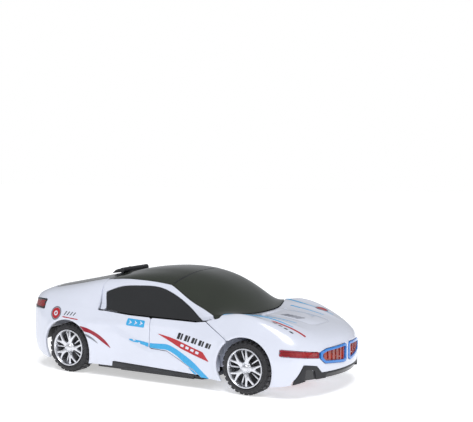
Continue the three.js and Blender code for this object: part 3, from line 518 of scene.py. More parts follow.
def acrossLine(step, low=-7, high=7):
    # places across the skin, closer where the section is longer
    marks = [-7, -4, -3, -2, 0, 2, 3, 4, 7]
    line = []
    for (m0, m1), unit in zip(zip(marks, marks[1:]), [9, 18, 16, 15.5, 15.5, 16, 18, 9]):
        line.extend(spread(m0, m1, step / unit)[:-1])
    line.append(7)
    line = np.array(line)
    keep = (line > low - 1e-9) & (line < high + 1e-9)
    return line[keep]


def alongLine(step, low=-body["end"], high=body["end"]):
    # places along the body, closer at the rounded ends
    end, cowl = body["end"], body["cowl"]
    flat = end - body["corner"]
    turn = body["corner"] * np.array([0.2, 0.4, 0.6, 0.8])
    line = np.concatenate([
        [-end], -end + turn, spread(-flat, cowl, step), spread(cowl, flat, step)[1:], flat + turn, [end],
    ])
    return line[(line > low - 1e-9) & (line < high + 1e-9)]


def newPiece(name, mesh):
    piece = bpy.data.objects.new(name, mesh)
    bpy.context.scene.collection.objects.link(piece)
    return piece


def meshFrom(name, sets):
    vertices, faces = [], []
    for points, polygons in sets:
        used = sorted({i for face in polygons for i in face})
        place = {old: len(vertices) + k for k, old in enumerate(used)}
        vertices.extend((points[used] * mm).tolist())
        faces.extend([[place[i] for i in face] for face in polygons])
    mesh = bpy.data.meshes.new(name)
    mesh.from_pydata(vertices, [], faces)
    mesh.update()
    return newPiece(name, mesh)


def activate(piece):
    bpy.ops.object.select_all(action="DESELECT")
    piece.select_set(True)
    bpy.context.view_layer.objects.active = piece


def editAll(piece):
    # edit mode with everything selected
    activate(piece)
    bpy.ops.object.mode_set(mode="EDIT")
    bpy.ops.mesh.select_all(action="SELECT")


def applyAll(piece):
    activate(piece)
    for modifier in list(piece.modifiers):
        bpy.ops.object.modifier_apply(modifier=modifier.name)


def tidyMesh(piece, merge=1e-6):
    editAll(piece)
    bpy.ops.mesh.remove_doubles(threshold=merge)
    bpy.ops.mesh.normals_make_consistent(inside=False)
    bpy.ops.object.mode_set(mode="OBJECT")


def pointOutwards(piece):
    middle = Vector((0, 0, 0.02))
    facing = sum(((f.center - middle).dot(f.normal) > 0) * f.area for f in piece.data.polygons)
    if facing < 0.5 * sum(f.area for f in piece.data.polygons):
        editAll(piece)
        bpy.ops.mesh.flip_normals()
        bpy.ops.object.mode_set(mode="OBJECT")


def thicken(piece, wall):
    solid = piece.modifiers.new("wall", "SOLIDIFY")
    solid.thickness = wall * mm
    solid.offset = -1


def roundEdges(piece, width, segments=2, angle=40):
    bevel = piece.modifiers.new("edges", "BEVEL")
    bevel.width = width * mm
    bevel.segments = segments
    bevel.limit_method = "ANGLE"
    bevel.angle_limit = math.radians(angle)
    bevel.use_clamp_overlap = True


def finishPiece(piece, material, bodyName, replaces=(), smooth=35):
    piece.data.materials.clear()
    piece.data.materials.append(material)
    activate(piece)
    bpy.ops.object.shade_smooth_by_angle(angle=math.radians(smooth))
    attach(piece, bodyName)
    if replaces:
        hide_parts(*replaces)
    return piece


def skinPanel(name, zone, material, bodyName, replaces=(), slot=None, wall=body["wall"], sink=0.0,
              tuck=0, step=1.3, along=(-body["end"], body["end"]), across=(-body["top"], body["top"]), ends=(),
              edge=None):
    # one panel of the body: the skin trimmed to a zone, thickened inwards, with rounded edges
    sets = []
    lineA = alongLine(step, *along)
    lineB = acrossLine(step, *across)

    def onSkin(a, w):
        return skinPoints(a, w, tuck, sink)

    joins = [0] * ("tail" in ends) + [1] * ("nose" in ends)
    allA, allB, faces = trimmedGrid(onSkin, lineA, lineB, zone, joins)
    if faces:
        sets.append((onSkin(allA, allB), faces))
    for end, sign in (("nose", 1), ("tail", -1)):
        if end not in ends:
            continue
        face = faceOfEnd(sign)
        ring = np.unique(np.round(body["top"] - np.abs(acrossLine(step)), 9))

        def onEnd(c, u, face=face):
            return face(c, u, tuck, sink)

        allC, allU, polygons = trimmedGrid(onEnd, spread(-1, 1, step / 38), ring, zone, (0, 1))
        if polygons:
            if sign > 0:
                polygons = [loop[::-1] for loop in polygons]
            sets.append((onEnd(allC, allU), polygons))
    piece = meshFrom(name, sets)
    tidyMesh(piece, 2e-6)
    pointOutwards(piece)
    thicken(piece, wall)
    width = body["edge"] if edge is None else edge
    if width:
        roundEdges(piece, width, 2, 55)
    applyAll(piece)
    return finishPiece(piece, material, bodyName, replaces)


gap, clear = body["gap"], body["clear"]
splitX, tongueTip, beltZ, canopyRear = -3, 35.5, 40, -45
beltLine = [(canopyRear, 41.5), (-20, 40.2), (5, 40), (30, 40), (37, 41), (45, 44.2)]
diagonal = [(37, 41), (54.4, 31.4)]
swoosh = [(splitX, 21.4), (10, 20.8), (21, 15.8), (30, 11.2), (tongueTip, 6.5)]
sillLine = [(-32, 6), (-30.5, 10.6), (tongueTip - 4, 8.4), (tongueTip - 0.5, 6)]
arches = {"radius": 18.4, "front": (65, 16.1), "rear": (-66, 15.8)}
far = 200


def archZone(p, which):
    x, z = arches[which]
    return both(arches["radius"] - np.hypot(p[:, 0] - x, p[:, 2] - z), np.abs(p[:, 1]) - 30)


def behindCowl(p, ahead):
    cowlX = body["cowl"] + 12 * (1 - (p[:, 1] / body["halfWidth"]) ** 2)
    return cowlX + ahead - p[:, 0]


def aboveBelt(p, drop):
    outline = [*shifted(beltLine, 0, -drop), (58, 41.5 - drop), (58, far), (canopyRear - drop, far)]
    x, y, z = p[:, 0], np.abs(p[:, 1]), p[:, 2]
    low = both(x - 30, 60 - x, 35 - y, z - 36)
    corner = both(x - 40, 60 - x, 41.5 - y, z - 41)
    return either(insideOutline(fromSide(p), outline), low, corner)


def canopyZone(p):
    return both(aboveBelt(p, -gap / 2), behindCowl(p, -gap / 2))


def canopyCut(p):
    return both(aboveBelt(p, gap / 2), behindCowl(p, gap / 2))


doorOutline = [
    (splitX + gap / 2, 21.4 + gap / 2),
    *shifted(swoosh[1:], 0, gap / 2),
    (tongueTip + 1, 0),
    (65, 0),
    (65, 20),
    *shifted(diagonal, -gap / 2, -gap / 2)[::-1],
    *shifted(beltLine[2:4], 0, -gap / 2)[::-1],
    (splitX + gap / 2, beltZ - gap / 2),
]
baseOutline = [
    (-far, -10),
    (tongueTip, -10),
    *shifted(swoosh, 0, -gap / 2)[::-1],
    (splitX - gap / 2, 21.4 - gap / 2),
    (splitX - gap / 2, beltZ - gap / 2),
    (-20, 40.2 - gap / 2),
    (canopyRear - gap / 2, 41.5 - gap / 2),
    (canopyRear - gap / 2, far),
    (-far, far),
]
hoodOutline = [
    (37 + gap / 2, 41 + gap / 2),
    (54.4 + gap / 2, 31.4 + gap / 2),
    (65, 20),
    (85, -10),
    (far, -10),
    (far, far),
    (37 + gap / 2, far),
]
rearGlassOutline = [(-49, -26), (-49, 26), (-91, 25), (-96.5, 15), (-98, 0), (-96.5, -15), (-91, -25)]
tailLampOutline = [(20, 40), (20, 43.4), (46.3, 46.5), (46.3, 39)]
diffuserOutline = [(-30, -9), (30, -9), (26, 21), (-26, 21)]
noseLampOutline = [(1.3, 18.6), (1.3, 28), (3.2, 29.2), (21, 28.4), (26, 26.8), (26, 22.6), (22.6, 19.6), (4, 17.8)]
headlampOutline = [(26.4, 23), (26.4, 26.9), (47, 29.8), (47, 25.4)]
splitterOutline = [
    (-40, 0), (40, 0), (40.2, 11), (36.5, 20.5), (28, 19), (24.5, 14.8),
    (-24.5, 14.8), (-28, 19), (-36.5, 20.5), (-40.2, 11),
]
flapOutline = [(60.6, -12), (91, -12), (94, -8), (94, 8), (91, 12), (60.6, 12)]


def flapHole(p):
    x, y = p[:, 0], np.abs(p[:, 1])
    barrel = both(2 - np.abs(x - 61), 12 - y)
    return either(both(insideOutline(fromTop(p), flapOutline, 1.0), p[:, 2] - 25), barrel)


def lampZone(p, outline, inset, fromX, rounding=0.8):
    return both(insideOutline(fromFront(p), shrink(outline, inset) if inset else outline, rounding), p[:, 0] - fromX)


def rearLampZone(p, outline, inset, toX):
    return both(insideOutline(fromFront(p), shrink(outline, inset) if inset else outline, 0.8), toX - p[:, 0])


def rearGlassZone(p, inset=0.0):
    outline = shrink(rearGlassOutline, inset) if inset else rearGlassOutline
    return both(insideOutline(fromTop(p), outline, 2.0), p[:, 2] - 40)


def rearBodyZone(p):
    return both(
        insideOutline(fromSide(p), baseOutline),
        -archZone(p, "rear"),
        -rearGlassZone(p),
        -rearLampZone(p, tailLampOutline, 0, -86.5),
        -rearLampZone(p, diffuserOutline, 0, -91),
        -insideOutline(fromSide(p), shifted(sillLine, 0, gap)),
    )


def doorZone(side):
    def zone(p):
        return both(insideOutline(fromSide(p), doorOutline), -archZone(p, "front"), side * p[:, 1] - 30)

    return zone


def hoodZone(p):
    return both(
        insideOutline(fromSide(p), hoodOutline),
        -canopyCut(p),
        -archZone(p, "front"),
        -both(insideOutline(fromFront(p), splitterOutline, 0.6), p[:, 0] - 88),
        -lampZone(p, noseLampOutline, 0, 95),
        -lampZone(p, headlampOutline, 0, 87),
        -flapHole(p),
    )


roofSide = [(-41, 29), (-20, 29.6), (5, 29.8), (25, 34.4), (38, 38), (46, 40)]
windowTop = [(-41, 41), (-42.4, 52.5), (-31, 56.6), (-19.5, 57.8), (-3, 57.8), (8, 54.8), (25, 46.4), (35, 39.8)]
windowOutline = smoothed([*windowTop, (35, 30), (-41, 30)], 4)


def roofZone(p, inset):
    # inside the roof glass, which runs from the rear header to the cowl
    x, y = p[:, 0], np.abs(p[:, 1])
    edge = np.interp(x, [a for a, _ in roofSide], [b for _, b in roofSide]) - inset
    corner = np.minimum(edge - y, x - (roofSide[0][0] + inset))
    return both(corner, behindCowl(p, -gap / 2 - inset), p[:, 2] - 41)


def windowZone(p, inset):
    return both(insideOutline(fromSide(p), windowOutline) - inset, np.abs(p[:, 1]) - 26)


tuckIn = 2.4
skinPanel("rearBody", rearBodyZone, whiteGloss, "base", ["rear_shell"], "white_body", ends=("tail",), along=(-95, 40))
skinPanel("rearGlass", lambda p: rearGlassZone(p, clear), smokedGlass, "base", ["rear_window"], "smoked_glass",
          wall=body["glassWall"], along=(-94, -40))
skinPanel("hoodPanel", hoodZone, whiteGloss, "hood", ["hood_shell"], "white_body", ends=("nose",), along=(30, 95))
for side, label in sides:
    skinPanel("doorPanel_" + label, doorZone(side), whiteGloss, "arm_" + label, ["door_" + label], "white_body",
              along=(-6, 64), across=halfOf[side])
skinPanel(
    "roofRails",
    lambda p: both(canopyZone(p), -roofZone(p, 0), -windowZone(p, 0)),
    whiteGloss, "canopy", ["canopy_frame"], "white_body", wall=2.4, tuck=tuckIn, along=(-48, 60),
)
skinPanel("roofGlass", lambda p: both(canopyZone(p), roofZone(p, clear)), smokedGlass, "canopy", ["roof_glass"],
          "smoked_glass", wall=body["glassWall"], tuck=tuckIn, along=(-48, 60))
for side, label in sides:
    skinPanel(
        "sideGlass_" + label,
        lambda p, side=side: both(canopyZone(p), windowZone(p, clear), side * p[:, 1]),
        darkGlass, "canopy", ["side_window_" + label], "dark_glass", wall=body["glassWall"], tuck=tuckIn, along=(-46, 40),
        across=halfOf[side],
    )
print("body panels done")


# printed films, seams and bands: thin patches of the same skin
def seamZone(p):
    seamX = 5 + 9 * (1 - (p[:, 1] / 31) ** 2)
    return both(0.45 - np.abs(p[:, 0] - seamX), roofZone(p, 0.8))


def patchRange(zone, tuck=0):
    # the part of the skin that a zone covers, with a small margin
    lineA, lineB = alongLine(2), acrossLine(2)
    gridA, gridB = [g.ravel() for g in np.meshgrid(lineA, lineB, indexing="ij")]
    near = zone(skinPoints(gridA, gridB, tuck)) > -2.2
    return (gridA[near].min(), gridA[near].max()), (gridB[near].min(), gridB[near].max())


film = {"wall": 0.2, "proud": 0.1, "overprint": 0.15, "inset": 0.25}  # overprint is a film on top of a film


def skinPatch(name, zone, material, bodyName, step=0.5, wall=film["wall"], sink=-film["proud"], tuck=0):
    along, across = patchRange(zone, tuck)
    flat = body["end"] - body["corner"]
    lineA = spread(max(along[0], -flat), min(along[1], flat), step)
    lineB = spread(*across, step / 16)

    def onSkin(a, w):
        return skinPoints(a, w, tuck, sink)

    allA, allB, faces = trimmedGrid(onSkin, lineA, lineB, zone)
    piece = meshFrom(name, [(onSkin(allA, allB), faces)])
    tidyMesh(piece, 2e-7)
    pointOutwards(piece)
    thicken(piece, wall)
    applyAll(piece)
    return finishPiece(piece, material, bodyName)


def bandZone(low, high, half):
    return lambda p: both(p[:, 0] - low, high - p[:, 0], half - np.abs(p[:, 1]), p[:, 2] - 45)


def slanted(origin, angle, blocks):
    # outlines drawn along a tilted line: each block is a list of (along, up) points
    c, s = math.cos(math.radians(angle)), math.sin(math.radians(angle))
    return [[(origin[0] + a * c - b * s, origin[1] + a * s + b * c) for a, b in block] for block in blocks]


def block(start, width, low, high, lean=0.9):
    return [(start, low), (start + width, low), (start + width + lean, high), (start + lean, high)]


skinPatch("roofSeam", seamZone, blackPrint, "canopy", wall=0.1, sink=-0.04, tuck=tuckIn)
skinPatch("roofBand", bandZone(-44.7, -40.9, 28.6), blackGloss, "canopy", wall=0.1, sink=-0.05, tuck=tuckIn)
skinPatch("rearBand", bandZone(-49.1, -45.3, 26.4), blackGloss, "base", wall=0.1, sink=-0.05)
doorPrint = {"place": (17.3, 29.2), "angle": -9, "height": 3.9, "marks": 5, "pitch": 5.3}


def markBlocks():
    # pairs of slanted bars, each pair a little lower than the one before
    h = doorPrint["height"]
    marks = []
    for i in range(doorPrint["marks"]):
        x, high = i * doorPrint["pitch"], h * (1 - 0.05 * i)
        marks += [block(x, 1.9, 0, high), block(x + 2.4, 1.2, 0, high)]
    return slanted(doorPrint["place"], doorPrint["angle"], marks)


def repeated(points, count, dx, dz=0.0):
    return [shifted(points, i * dx, i * dz) for i in range(count)]


def sideZone(outlines, side, low=30, rounding=0.0):
    def zone(p):
        parts = [insideOutline(fromSide(p), outline, rounding) for outline in outlines]
        return both(either(*parts), side * p[:, 1] - low)

    return zone


def topZone(outlines, side=0, low=24):
    def zone(p):
        q = fromTop(p) if side == 0 else np.stack([p[:, 0], side * p[:, 1]], 1)
        return both(either(*[insideOutline(q, outline) for outline in outlines]), p[:, 2] - low)

    return zone


def discZone(view, centre, near, radius, inner=0.0):
    # a disc, or a ring where it has an inner radius; near keeps it on one face of the body
    def zone(p):
        q = view(p)
        r = np.hypot(q[:, 0] - centre[0], q[:, 1] - centre[1])
        value = both(radius - r, r - inner) if inner else radius - r
        return both(value, near(p))

    return zone


def doorOnly(outlines, side):
    zone = sideZone(outlines, side)
    return lambda p: both(zone(p), doorZone(side)(p) - film["inset"])


def bodyOnly(zone):
    return lambda p: both(zone(p), rearBodyZone(p) - film["inset"])


def hoodOnly(zone):
    return lambda p: both(zone(p), hoodZone(p) - film["inset"])


swooshBand = [
    (-17.5, 26.1), (-9, 25.3), (-3.2, 24.6), (4, 24.8), (10.4, 24.9), (16, 23.2), (20.4, 21.2), (30.2, 16), (36, 11.4),
    (41, 6.6), (43, 4), (35.6, 4), (32.6, 6.6), (30, 9.2), (26.1, 12.6), (18.7, 18.1), (14, 20.4), (10.4, 21.5),
    (4, 21.6), (-1.5, 21.8), (-7, 22.9), (-12, 24.3), (-17.2, 25.6),
]
streakBand = [
    (2.9, 31), (12, 29.6), (18.7, 28), (29, 24.9), (36.7, 23), (41.5, 17.6), (30, 20.6), (20.5, 23.4), (13, 26.8),
]
streakMarks = repeated([(20, 24.9), (22.3, 24.3), (23, 25.7), (20.7, 26.3)], 4, 3.7, -1.05)
stickerPlate = [(-20.6, 34), (-7.2, 33.5), (-6.6, 37.8), (-20, 38.4)]
stickerArrows = repeated([(-18.9, 34.7), (-16.2, 36), (-18.6, 37.6), (-17.7, 36.1)], 3, 4.1)
curvedStripe = [
    (-57.5, 31), (-53, 30.8), (-47.5, 29.4), (-40.5, 26.6), (-35, 22.8), (-31.2, 18.6), (-37.4, 22), (-42.5, 25),
    (-47.9, 27.2), (-55.7, 28.9),
]
curvedShadow = [(-56.5, 27.6), (-50, 26.4), (-44.8, 24), (-40.4, 20.6), (-44, 22.4), (-49.5, 25), (-56, 26.6)]
roundel = {"side": (-75.3, 37.6), "hood": (79, 29), "disc": 3.3, "ring": 4.2, "dot": (1.5, 0.75)}
ringInner = roundel["disc"] + 0.15
strokes = [
    [(x, 36.9), (x + 0.6, 36.9), (x + 2, 39.3 - drop), (x + 1.3, 39.3 - drop)]
    for x, drop in ((-68.6 + i * 2.3, i * 0.15) for i in range(4))
]
redLine = [(-69, 35.6), (-57, 34.6), (-57, 35.1), (-69, 36.2)]
over = {"sink": -film["overprint"]}
for side, label in sides:
    arm = "arm_" + label
    swooshCurve = [smoothed(swooshBand)]
    skinPatch("doorMarks_" + label, doorOnly(markBlocks(), side), blackPrint, arm, step=0.32)
    skinPatch("doorStreak_" + label, doorOnly([streakBand], side), redPrint, arm)
    skinPatch("streakMarks_" + label, doorOnly(streakMarks, side), whiteGloss, arm, step=0.32, **over)
    skinPatch("doorSwoosh_" + label, doorOnly(swooshCurve, side), cyanPrint, arm)
    skinPatch("swooshTip_" + label, bodyOnly(sideZone(swooshCurve, side)), cyanPrint, "base", wall=0.35, sink=-0.2)
    skinPatch("bodySticker_" + label, bodyOnly(sideZone([stickerPlate], side, rounding=0.8)), cyanPrint, "base")
    skinPatch("stickerArrows_" + label, bodyOnly(sideZone(stickerArrows, side)), whiteGloss, "base", step=0.3, **over)
    skinPatch("curvedStripe_" + label, bodyOnly(sideZone([smoothed(curvedStripe)], side)), crimsonPrint, "base",
              step=0.4)
    skinPatch("curvedShadow_" + label, bodyOnly(sideZone([smoothed(curvedShadow)], side)), greyPrint, "base", step=0.4)
    spot = (fromSide, roundel["side"], lambda p, side=side: side * p[:, 1] - 25)
    skinPatch("roundelDisc_" + label, bodyOnly(discZone(*spot, roundel["disc"])), redPrint, "base", step=0.4)
    skinPatch("roundelRing_" + label, bodyOnly(discZone(*spot, roundel["ring"], ringInner)), greyPrint, "base",
              step=0.35)
    skinPatch("roundelDot_" + label, bodyOnly(discZone(*spot, *roundel["dot"])), whiteGloss, "base", step=0.25, **over)
    skinPatch("strokes_" + label, bodyOnly(sideZone(strokes, side, 25)), blackPrint, "base", step=0.3)
    skinPatch("redLine_" + label, bodyOnly(sideZone([redLine], side, 25)), redPrint, "base", step=0.35)

# hood print: pinstripes along the cowl, a small striped mark, a streak and a roundel
pinstripe = [
    (45, 39.2), (50.5, 36.2), (57, 32.6), (63, 30), (70, 28.2), (79, 27.2), (88, 27), (88, 27.5), (79, 28.1), (70, 29.4),
    (63, 31.6), (57, 34.2), (50.5, 38), (46, 40.8),
]
pinstripeInner = [(60, 22.6), (67, 20.6), (77, 18.9), (86, 18), (86, 18.4), (77, 19.6), (67, 21.6), (60, 23.8)]


for side, label in sides:
    skinPatch("hoodStripe_" + label, hoodOnly(topZone([smoothed(pinstripe)], side)), cyanPrint, "hood", step=0.4)
    skinPatch("hoodPinline_" + label, hoodOnly(topZone([pinstripeInner], side)), cyanPrint, "hood", step=0.3)
hoodMark = [
    [(x, -7.5 - i * 0.2), (x + 1.4, -7.5 - i * 0.2), (x + 4, -2.6), (x + 2.6, -2.6)]
    for i, x in ((i, 69 + i * 2.6) for i in range(5))
]
skinPatch("hoodMark", lambda p: both(topZone(hoodMark)(p), flapHole(p) - 0.7), greyPrint, "head", step=0.32)
hoodStreak = [[(76, -32.2), (88, -30.4), (97, -29.6), (97, -28.4), (88, -29), (78, -30.4)]]
skinPatch("hoodStreak", hoodOnly(topZone(hoodStreak)), redPrint, "hood", step=0.4)
streakTicks = repeated([(78, -34), (80, -33.7), (80.6, -32.7), (78.6, -33)], 4, 3.6)
skinPatch("hoodTicks", hoodOnly(topZone(streakTicks)), blackPrint, "hood", step=0.32)
spot = (fromTop, roundel["hood"], lambda p: p[:, 2] - 25)
skinPatch("hoodRoundel", hoodOnly(discZone(*spot, roundel["disc"])), redPrint, "hood", step=0.4)
skinPatch("hoodRoundelRing", hoodOnly(discZone(*spot, roundel["ring"], ringInner)), greyPrint, "hood", step=0.35)
print("prints done")

# lamps, splitter and diffuser
lamps = {"bars": 6, "low": 3.2, "high": 24.6}  # bars in each nose lamp, and the y they spread between


def noseZone(side, inset, rounding=1.2):
    return lambda p: both(lampZone(p, noseLampOutline, inset, 95, rounding), side * p[:, 1])


def noseBars(side):
    low, high = lamps["low"], lamps["high"]
    strips = []
    for i in range(lamps["bars"]):
        y = low + (high - low) * (i + 0.5) / lamps["bars"]
        strips.append([(y - 0.35, 17), (y + 0.35, 17), (y + 0.35, 31), (y - 0.35, 31)])
    return lambda p: both(either(*[insideOutline(fromFront(p), s) for s in strips]), noseZone(side, 1.9)(p))


for side, label in sides:
    front = {"ends": ("nose",), "along": (80, 95), "step": 0.8}
    skinPanel("noseLampRim_" + label, lambda p, s=side: both(noseZone(s, 0.3)(p), -noseZone(s, 1.7)(p)),
              blueGloss, "hood", ["nose_lamp_" + label], "red_lens", sink=-0.5, wall=1.8, edge=0.35, **front)
    skinPanel("noseLampLens_" + label, noseZone(side, 1.7), amberLens, "hood", slot="red_lens", sink=0.6, wall=1.0,
              **front)
    skinPanel("noseLampBars_" + label, noseBars(side), redLens, "hood", slot="red_lens", sink=0.1, wall=0.6, edge=0.12,
              ends=("nose",), along=(80, 95), step=0.5)
    skinPanel("headlampRim_" + label, lambda p, s=side: both(
        lampZone(p, headlampOutline, 0.3, 87.3), -lampZone(p, headlampOutline, 1.0, 88.2), s * p[:, 1],
    ), crimsonPrint, "hood", ["headlamp_" + label], "red_lens", sink=-0.1, wall=1.5, edge=0.2, **front)
    skinPanel("headlampLens_" + label, lambda p, s=side: both(lampZone(p, headlampOutline, 0.5, 87.6), s * p[:, 1]),
              redLens, "hood", slot="red_lens", sink=0.3, wall=1.0, **front)
    rear = {"ends": ("tail",), "along": (-95, -76), "step": 0.8}
    skinPanel("tailLampRim_" + label, lambda p, s=side: both(
        rearLampZone(p, tailLampOutline, 0.3, -86.8), -rearLampZone(p, tailLampOutline, 1.1, -88), s * p[:, 1],
    ), blackGloss, "base", ["tail_lamp_" + label], "red_lens", sink=-0.1, wall=1.5, edge=0.2, **rear)
    skinPanel("tailLampLens_" + label, lambda p, s=side: both(rearLampZone(p, tailLampOutline, 0.7, -87.3), s * p[:, 1]),
              redLens, "base", slot="red_lens", sink=0.2, wall=1.0, **rear)


def splitterZone(p, inset=0.3):
    return both(insideOutline(fromFront(p), shrink(splitterOutline, inset), 0.5), p[:, 0] - 88.3)


def intakeZone(p):
    side = [(28.5, 10.5), (36, 11), (35.2, 17.6), (29.6, 16.6)]
    centre = [(-22, 11), (22, 11), (21, 13.6), (-21, 13.6)]
    q = fromFront(p)
    return both(either(insideOutline(q, side, 0.8), insideOutline(q, centre, 0.6)), p[:, 0] - 88)


skinPanel("splitterPanel", lambda p: both(splitterZone(p), -intakeZone(p)), blackSatin, "hood", ["front_splitter"],
          "black_plastic", ends=("nose",), along=(80, 95), step=0.9, sink=-0.1)
skinPanel("intakeMesh", intakeZone, blackGloss, "hood", slot="black_plastic", ends=("nose",), along=(80, 95), step=0.9,
          sink=1.0, wall=0.5, edge=0)
skinPanel("diffuserPanel", lambda p: rearLampZone(p, diffuserOutline, 0.3, -91.3), blackSatin, "base",
          ["rear_diffuser"], "black_plastic", ends=("tail",), along=(-95, -80), step=0.9)
print("lamps and bumpers done")

# black seal on the flange under the roof and side glass
skinPanel(
    "glassSeal",
    lambda p: both(
        canopyZone(p), either(roofZone(p, -0.6), windowZone(p, -0.6)), -roofZone(p, 3.2), -windowZone(p, 3.2),
    ),
    blackSatin, "canopy", slot="black_plastic", sink=1.7, wall=0.9, tuck=tuckIn, along=(-46, 58), edge=0,
)


# small-part tools
def newOutline(name, points, thickness, axis="Y", start=0.0, edge=0.3, facet=None):
    # a flat outline, extruded in edit mode and rounded; points are the two axes left over, in order
    # facet is how far the new face is drawn in and raised, for a cut-gem or armour look
    def place(a, b):
        return {"X": (start, a, b), "Y": (a, start, b), "Z": (a, b, start)}[axis]

    mesh = bpy.data.meshes.new(name)
    mesh.from_pydata([Vector(place(a, b)) * mm for a, b in points], [], [list(range(len(points)))])
    piece = newPiece(name, mesh)
    editAll(piece)
    move = {"X": (thickness * mm, 0, 0), "Y": (0, thickness * mm, 0), "Z": (0, 0, thickness * mm)}[axis]
    bpy.ops.mesh.extrude_region_move(TRANSFORM_OT_translate={"value": move})
    bpy.ops.mesh.select_all(action="SELECT")
    bpy.ops.mesh.normals_make_consistent(inside=False)
    bpy.ops.object.mode_set(mode="OBJECT")
    if facet:
        facing = Vector(move).normalized()
        for face in piece.data.polygons:
            face.select = face.normal.dot(facing) > 0.9
        bpy.ops.object.mode_set(mode="EDIT")
        bpy.ops.mesh.select_mode(type="FACE")
        bpy.ops.mesh.inset(thickness=facet[0] * mm, depth=facet[1] * mm)
        bpy.ops.object.mode_set(mode="OBJECT")
    if edge:
        roundEdges(piece, edge, 2, 22 if facet else 40)
        applyAll(piece)
    return piece


def newLathe(name, profile, steps=64, axis="Y"):
    # a profile of (radius, along) points, spun about the axis through the origin
    def place(r, a):
        return {"Y": (r, a, 0), "Z": (r, 0, a), "X": (a, r, 0)}[axis]

    mesh = bpy.data.meshes.new(name)
    count = len(profile)
    mesh.from_pydata([Vector(place(r, a)) * mm for r, a in profile], [(i, (i + 1) % count) for i in range(count)], [])
    piece = newPiece(name, mesh)
    editAll(piece)
    turn = {"X": (1, 0, 0), "Y": (0, 1, 0), "Z": (0, 0, 1)}[axis]
    bpy.ops.mesh.spin(steps=steps, angle=2 * math.pi, center=(0, 0, 0), axis=turn)
    bpy.ops.mesh.select_all(action="SELECT")
    bpy.ops.mesh.remove_doubles(threshold=1e-6)
    bpy.ops.mesh.normals_make_consistent(inside=False)
    bpy.ops.object.mode_set(mode="OBJECT")
    return piece


def newBlock(name, low, high, edge, segments=2):
    # a box from corner to corner, with rounded edges
    centre = [(a + b) / 2 * mm for a, b in zip(low, high)]
    bpy.ops.mesh.primitive_cube_add(size=1, location=centre)
    piece = bpy.context.object
    piece.name = name
    piece.scale = [(b - a) * mm for a, b in zip(low, high)]
    bpy.ops.object.transform_apply(location=True, rotation=True, scale=True)
    roundEdges(piece, edge, segments)
    applyAll(piece)
    return piece


def turned(piece, matrix):
    piece.data.transform(matrix)
    piece.data.update()
    return piece


def copyOf(piece, name, matrix=None, flip=False):
    made = newPiece(name, piece.data.copy())
    if matrix is not None:
        made.data.transform(matrix)
    if flip:
        made.data.flip_normals()
    return made


def joined(pieces, name):
    bpy.ops.object.select_all(action="DESELECT")
    for piece in pieces:
        piece.select_set(True)
    bpy.context.view_layer.objects.active = pieces[0]
    bpy.ops.object.join()
    pieces[0].name = name
    return pieces[0]


def ringOf(piece, count, name, start=0.0):
    copies = []
    for i in range(count):
        copies.append(copyOf(piece, name + str(i), Matrix.Rotation(start + 2 * math.pi * i / count, 4, "Y")))
    bpy.data.objects.remove(piece)
    return joined(copies, name)


mirrorY = Matrix.Scale(-1, 4, (0, 1, 0))


# wheels
wheel = {
    "radius": 15.8, "carcass": 15.1, "rim": 11.8, "width": 10.8, "blocks": 30,
    "spokes": 5, "face": 43.4, "frontAxle": (65, 16.1), "rearAxle": (-66, 15.8),
}


def makeTyre():
    w = wheel["width"]
    r = wheel["carcass"]
    hole = wheel["rim"] + 0.3
    profile = [
        (hole, -0.5), (hole + 0.35, 0), (hole + 0.9, 0.0), (hole + 1.1, -0.25), (hole + 1.35, -0.05), (r - 0.6, -0.5),
        (r - 0.15, -1.2), (r, -2), (r, -4), (r - 0.45, -4.2), (r - 0.45, -4.7), (r, -4.9), (r, -w + 4.9),
        (r - 0.45, -w + 4.7), (r - 0.45, -w + 4.2), (r, -w + 4), (r, -w + 2), (r - 0.15, -w + 1.2), (r - 0.6, -w + 0.5),
        (hole + 1.2, -w), (hole + 0.4, -w), (hole, -w + 0.5),
    ]
    carcass = newLathe("tyreCarcass", profile, 72)
    length = 2 * math.pi * wheel["radius"] / wheel["blocks"]
    lugs = []
    for k, (low, high, shift) in enumerate([(-3.9, -0.9, 0.0), (-6.9, -3.9 - 0.3, 0.5), (-9.9, -6.9 - 0.3, 0.0)]):
        lug = newBlock("lug", (-length * 0.34, low, r - 0.4), (length * 0.34, high, wheel["radius"] - 0.02), 0.16, 1)
        skew = Matrix.Rotation(math.radians((14, 0, -14)[k]), 4, "Z")
        middle = Vector((0, (low + high) / 2 * mm, 0))
        lug.data.transform(Matrix.Translation(middle) @ skew @ Matrix.Translation(-middle))
        lugs.append(ringOf(lug, wheel["blocks"], "lugRing", shift * 2 * math.pi / wheel["blocks"]))
    shoulder = newBlock("shoulderLug", (-length * 0.3, -0.75, r - 1.5), (length * 0.3, -0.35, r - 0.35), 0.1, 1)
    lugs.append(ringOf(shoulder, wheel["blocks"], "shoulderRing"))
    return joined([carcass, *lugs], "tyre")


